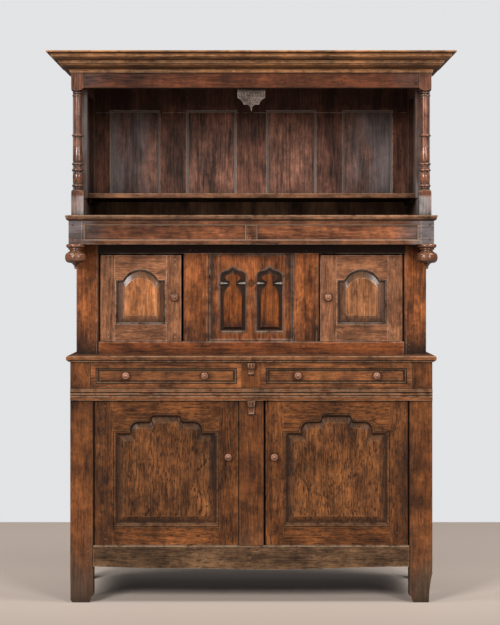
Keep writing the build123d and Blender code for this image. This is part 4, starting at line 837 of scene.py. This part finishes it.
def fan(centre: float, reach: float, angles: list[float], wide: float,
        high: float) -> list[Leaf]:
    """Leaves that stand out from a centre on the middle line.

    Args:
        centre: Height of the centre, in metres.
        reach: Distance of the leaves from it.
        angles: Their directions, in degrees from upright.
        wide: Width of a leaf.
        high: Length of a leaf.

    Returns:
        The leaves.
    """
    return [(reach * math.sin(math.radians(angle)),
             centre + reach * math.cos(math.radians(angle)), angle, wide, high)
            for angle in angles]


def plaque_carving() -> Carving:
    """Generic leaf ornament in rows over the pendant plaque."""
    leaves: list[Leaf] = [(step * 0.0068, 1.8385, 0.0, 0.0042, 0.0042)
                          for step in range(-6, 7)]
    leaves += [(step * 0.0100, 1.8265, 0.0, 0.0060, 0.0150) for step in range(-4, 5)]
    for side in (-1, 1):
        leaves += [(side * (0.0060 + step * 0.0078), 1.8110 - step * 0.0004, side * 38.0,
                    0.0048, 0.0150) for step in range(5)]
    leaves += fan(1.7860, 0.0125, [-64.0, -32.0, 0.0, 32.0, 64.0], 0.0052, 0.0125)
    leaves.append((0.0, 1.7810, 0.0, 0.0046, 0.0150))
    return Carving("plaque_carving", "oak_plaque", -0.183, 0.0022, leaves)


def knot_carving() -> Carving:
    """The small rosette carved between the two arched lights."""
    centre = 1.1435
    leaves = [(0.0, centre, 0.0, 0.0058, 0.0058)]
    leaves += fan(centre, 0.0062, [step * 45.0 for step in range(8)], 0.0042, 0.0088)
    leaves += fan(centre, 0.0118, [step * 22.5 for step in range(16)], 0.0036, 0.0030)
    return Carving("muntin_knot", "oak_middle", -0.1130, 0.0024, leaves)


CUSP_TURNING: tuple[tuple[float, float], ...] = (
    (0.0460, 0.0034), (0.0440, 0.0050), (0.0405, 0.0056), (0.0370, 0.0046), (0.0350, 0.0034),
    (0.0325, 0.0042), (0.0300, 0.0043), (0.0270, 0.0034), (0.0235, 0.0026), (0.0210, 0.0018),
    (0.0195, 0.0006))


CUSP_CENTRES = (-0.067, 0.067)
CUSP_FACE = -0.1115
CUSP_HEIGHT = 1.1420
CUSP_SIDES = 14


def build_cusps(material: bpy.types.Material) -> bpy.types.Object:
    """Turned cusps, pale partly as a painted highlight, that reach in from the sides of the two
    arched lights.
    """
    points: list[Point] = []
    faces: list[tuple[int, ...]] = []
    around = CUSP_SIDES
    for centre in CUSP_CENTRES:
        for side in (-1, 1):
            start = len(points)
            for reach, radius in CUSP_TURNING:
                for step in range(around):
                    turn = 2 * math.pi * step / around
                    points.append((centre + side * reach, CUSP_FACE + radius * math.cos(turn),
                                   CUSP_HEIGHT + radius * math.sin(turn)))
            for ring in range(len(CUSP_TURNING) - 1):
                for step in range(around):
                    after = (step + 1) % around
                    quad = (start + ring * around + step, start + ring * around + after,
                            start + (ring + 1) * around + after,
                            start + (ring + 1) * around + step)
                    faces.append(quad if side > 0 else quad[::-1])
            faces.append(tuple(start + step for step in range(around)))
            last = start + (len(CUSP_TURNING) - 1) * around
            faces.append(tuple(last + step for step in range(around)))
    piece = add_mesh("arch_cusps", points, faces, material)
    piece.data.shade_smooth()
    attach(piece, "carcass")
    log.info("turned the cusps")
    return piece


@dataclass
class PegSet:
    """The pegs that lock one body's mortise joints."""

    body: str
    places: list[Point]
    radius: float = 0.0036
    length: float = 0.0016
    finish: str = "oak_base"

    def build(self, tree: PegTree, material: bpy.types.Material) -> bpy.types.Object:
        """Set the pegs and turn the result into a plain mesh.

        Args:
            tree: The peg tree.
            material: Finish of the pegs.

        Returns:
            The finished piece.
        """
        tree.paint.default_value = material
        seed = add_mesh("peg_places_" + self.body, self.places, [], material)
        pegs = seed.modifiers.new("pegs", "NODES")
        pegs.node_group = tree.tree
        pegs[tree.radius_key] = self.radius
        pegs[tree.length_key] = self.length
        piece = made_real(seed, "pegs_" + self.body)
        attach(piece, self.body)
        log.info("set %d pegs on %s", len(self.places), self.body)
        return piece


@dataclass
class Carcass:
    """The fixed frame: where its pegs stand, in metres."""

    base_front: float = -0.225
    mid_front: float = -0.120
    canopy_front: float = -0.223
    top_front: float = -0.209
    base_joints: tuple[tuple[float, float], ...] = (
        (0.585, 0.150), (0.585, 0.182), (0.590, 0.742), (0.0, 0.190), (0.018, 0.745))
    mid_joints: tuple[tuple[float, float], ...] = (
        (0.574, 0.900), (0.574, 0.918), (0.574, 1.266), (0.200, 1.262), (0.200, 0.915),
        (0.222, 1.262), (0.180, 0.915))
    canopy_joints: tuple[tuple[float, float], ...] = (
        (0.0, 1.327), (0.640, 1.300), (0.640, 1.352))
    top_joints: tuple[tuple[float, float], ...] = (
        (0.0, 1.884), (0.009, 1.872), (0.592, 1.880), (0.592, 1.862))

    def peg_places(self) -> list[Point]:
        """Every peg on the front of the carcass, left and right."""
        places: list[Point] = []
        for front, joints in ((self.base_front, self.base_joints),
                              (self.mid_front, self.mid_joints),
                              (self.canopy_front, self.canopy_joints),
                              (self.top_front, self.top_joints)):
            for x, z in joints:
                for side in ((-1, 1) if x > 0.02 else (1,)):
                    places.append((side * x, front, z))
        return places

    def build(self, tree: PegTree, store: FinishStore) -> None:
        """Set the carcass pegs."""
        PegSet("carcass", self.peg_places()).build(tree, store.made["oak_base"])


@dataclass
class Door:
    """A framed door: its body and the corners of its frame, in metres."""

    body: str
    side: int
    hinge: float
    free: float
    front: float
    low: float
    high: float
    hinge_stile: float
    meeting_stile: float
    inset: float = 0.020

    def peg_places(self) -> list[Point]:
        """Two pegs at each corner joint."""
        places: list[Point] = []
        for x in (self.hinge - self.hinge_stile * 0.6, self.free + self.meeting_stile * 0.4):
            for z in (self.low + self.inset, self.low + 2.2 * self.inset,
                      self.high - self.inset, self.high - 2.2 * self.inset):
                places.append((self.side * x, self.front, z))
        return places

    def build(self, tree: PegTree, store: FinishStore) -> None:
        """Set the door's pegs."""
        finish = "oak_lower_door" if self.body.startswith("lower") else "oak_upper_door"
        PegSet(self.body, self.peg_places(), 0.0032, 0.0014, finish).build(
            tree, store.made[finish])


def all_doors() -> list[Door]:
    """The two lower and two upper doors."""
    doors: list[Door] = []
    for name, side in (("left", -1), ("right", 1)):
        low_free, high_free = (0.0475, 0.256) if side < 0 else (0.052, 0.251)
        doors.append(Door(f"lower_{name}_door", side, 0.5645, low_free, -0.222, 0.2055, 0.7225,
                          0.0685, 0.066))
        doors.append(Door(f"upper_{name}_door", side, 0.5545, high_free, -0.117, 0.9315, 1.245,
                          0.0565, 0.055, 0.015))
    return doors


@dataclass
class Studio:
    """Floor, soft light and the camera."""

    floor_colour: Colour = (0.94, 0.775, 0.663)
    wall_colour: Colour = (0.765, 0.772, 0.788)
    floor_half: float = 7.0
    floor_back: float = 1.76
    floor_drop: float = 0.0005
    # the floor painted darker towards the front, as shade where the lamps light it more
    floor_fade_from: float = 0.4
    floor_fade_to: float = -0.9
    floor_fade_share: float = 0.55
    soft_colour: Colour = (0.95, 0.97, 1.0)
    soft_strength: float = 0.09
    eye: Point = (0.0, -6.525, 1.202)
    lens: float = 101.25
    sensor: float = 36.0
    shift_x: float = -0.0021
    shift_y: float = -0.0728
    view_end: float = 60.0
    lamps: tuple[tuple[str, Point, Point, float, float], ...] = field(default=(
        ("key", (-3.2, -5.2, 3.35), (0.0, 0.0, 1.1), 1.9, 248.0),
        ("fill", (3.1, -5.3, 3.35), (0.0, 0.0, 1.1), 1.9, 154.0),
        ("low_key", (-3.5, -5.2, 1.5), (0.0, 0.0, 1.3), 1.2, 10.0),
        ("low_fill", (3.5, -5.2, 1.5), (0.0, 0.0, 1.3), 1.2, 8.0),
        ("top_left", (-2.6, -0.9, 4.5), (-2.1, 0.1, 0.0), 1.6, 60.0),
        ("top_right", (2.6, -0.9, 4.5), (2.1, 0.1, 0.0), 1.6, 94.0)))

    def build(self) -> None:
        """Add floor, world, lamps and camera."""
        self.add_floor()
        self.add_world()
        for name, place, target, size, power in self.lamps:
            self.add_lamp(name, place, target, size, power)
        self.add_camera()

    def add_floor(self) -> None:
        """A pale floor up to where a wall would stand, plain but for a darker band in front:
        painted shade that evens out the lamps' stronger light there.
        """
        material = bpy.data.materials.new("pale_floor")
        material.use_nodes = True
        shader = material.node_tree.nodes["Principled BSDF"]
        shader.inputs["Roughness"].default_value = 0.5
        wires = Wiring(material.node_tree)
        along = wires.node("ShaderNodeSeparateXYZ")
        wires.feed(along.inputs[0], wires.node("ShaderNodeTexCoord").outputs["Object"])
        # the floor painted darker towards the front: painted shade against the lamps' stronger
        # light there
        near = wires.span(along.outputs["Y"], self.floor_fade_from, self.floor_fade_to)
        deeper = tuple(self.floor_fade_share * part for part in self.floor_colour)
        wires.feed(shader.inputs["Base Color"],
                   wires.blend(near, (*self.floor_colour, 1.0), (*deeper, 1.0)))
        wide = self.floor_half
        corners = [(x, y, -self.floor_drop) for x, y in (
            (-wide, -wide), (wide, -wide), (wide, self.floor_back), (-wide, self.floor_back))]
        floor = add_mesh("studio_floor", corners, [(0, 1, 2, 3)], material)

    def add_world(self) -> None:
        """A pale wall tone for the camera and a soft even light for the rest."""
        world = bpy.data.worlds.new("studio")
        world.use_nodes = True
        bpy.context.scene.world = world
        tree = world.node_tree
        tree.nodes.clear()
        wires = Wiring(tree)
        rays = wires.node("ShaderNodeLightPath")
        seen = wires.math("MAXIMUM", rays.outputs["Is Camera Ray"],
                          rays.outputs["Is Transmission Ray"])
        wall = wires.node("ShaderNodeBackground")
        wall.inputs["Color"].default_value = (*self.wall_colour, 1.0)
        soft = wires.node("ShaderNodeBackground")
        soft.inputs["Color"].default_value = (*self.soft_colour, 1.0)
        soft.inputs["Strength"].default_value = self.soft_strength
        choice = wires.node("ShaderNodeMixShader")
        wires.feed(choice.inputs[0], seen)
        wires.feed(choice.inputs[1], soft.outputs[0])
        wires.feed(choice.inputs[2], wall.outputs[0])
        sheet = wires.node("ShaderNodeOutputWorld")
        wires.feed(sheet.inputs["Surface"], choice.outputs[0])

    def add_lamp(self, name: str, place: Point, target: Point, size: float,
                 power: float) -> None:
        """Add one square area lamp.

        Args:
            name: Name of the lamp.
            place: Where it hangs.
            target: What it faces.
            size: Side of the lamp, in metres.
            power: Its power, in watts.
        """
        lamp = bpy.data.lights.new(name, "AREA")
        lamp.shape = "SQUARE"
        lamp.size = size
        lamp.energy = power
        made = bpy.data.objects.new(name, lamp)
        made.location = place
        aim = Vector(target) - Vector(place)
        made.rotation_euler = aim.to_track_quat("-Z", "Y").to_euler()
        bpy.context.scene.collection.objects.link(made)

    def add_camera(self) -> None:
        """Set the camera level in front of the piece, framed by its shift."""
        lens = bpy.data.cameras.new("view")
        lens.sensor_fit = "VERTICAL"
        lens.sensor_height = self.sensor
        lens.lens = self.lens
        lens.shift_x = self.shift_x
        lens.shift_y = self.shift_y
        lens.clip_end = self.view_end
        made = bpy.data.objects.new("view", lens)
        made.location = self.eye
        made.rotation_euler = (math.pi / 2, 0.0, 0.0)
        bpy.context.scene.collection.objects.link(made)
        bpy.context.scene.camera = made


def main() -> None:
    """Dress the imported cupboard, add its small pieces and set the studio."""
    logging.basicConfig(level=logging.INFO, format="%(name)s: %(message)s")
    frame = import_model()
    slots = {entry["node"]: entry["material_slot"] for entry in frame["record"]["subparts"]}
    store = FinishStore()
    for finish in FINISHES:
        store.oak(finish)
    store.iron("iron")
    store.dress(frame["nodes"], slots)
    pegs = PegTree(store.made["oak_base"])
    Carcass().build(pegs, store)
    for door in all_doors():
        door.build(pegs, store)
    plaque_carving().build(store.made["oak_plaque"])
    knot_carving().build(store.oak(KNOT_FINISH))
    build_cusps(store.oak(CUSP_FINISH))
    Studio().build()
    bpy.context.scene.view_settings.view_transform = "Standard"


if __name__ == "__main__":
    main()
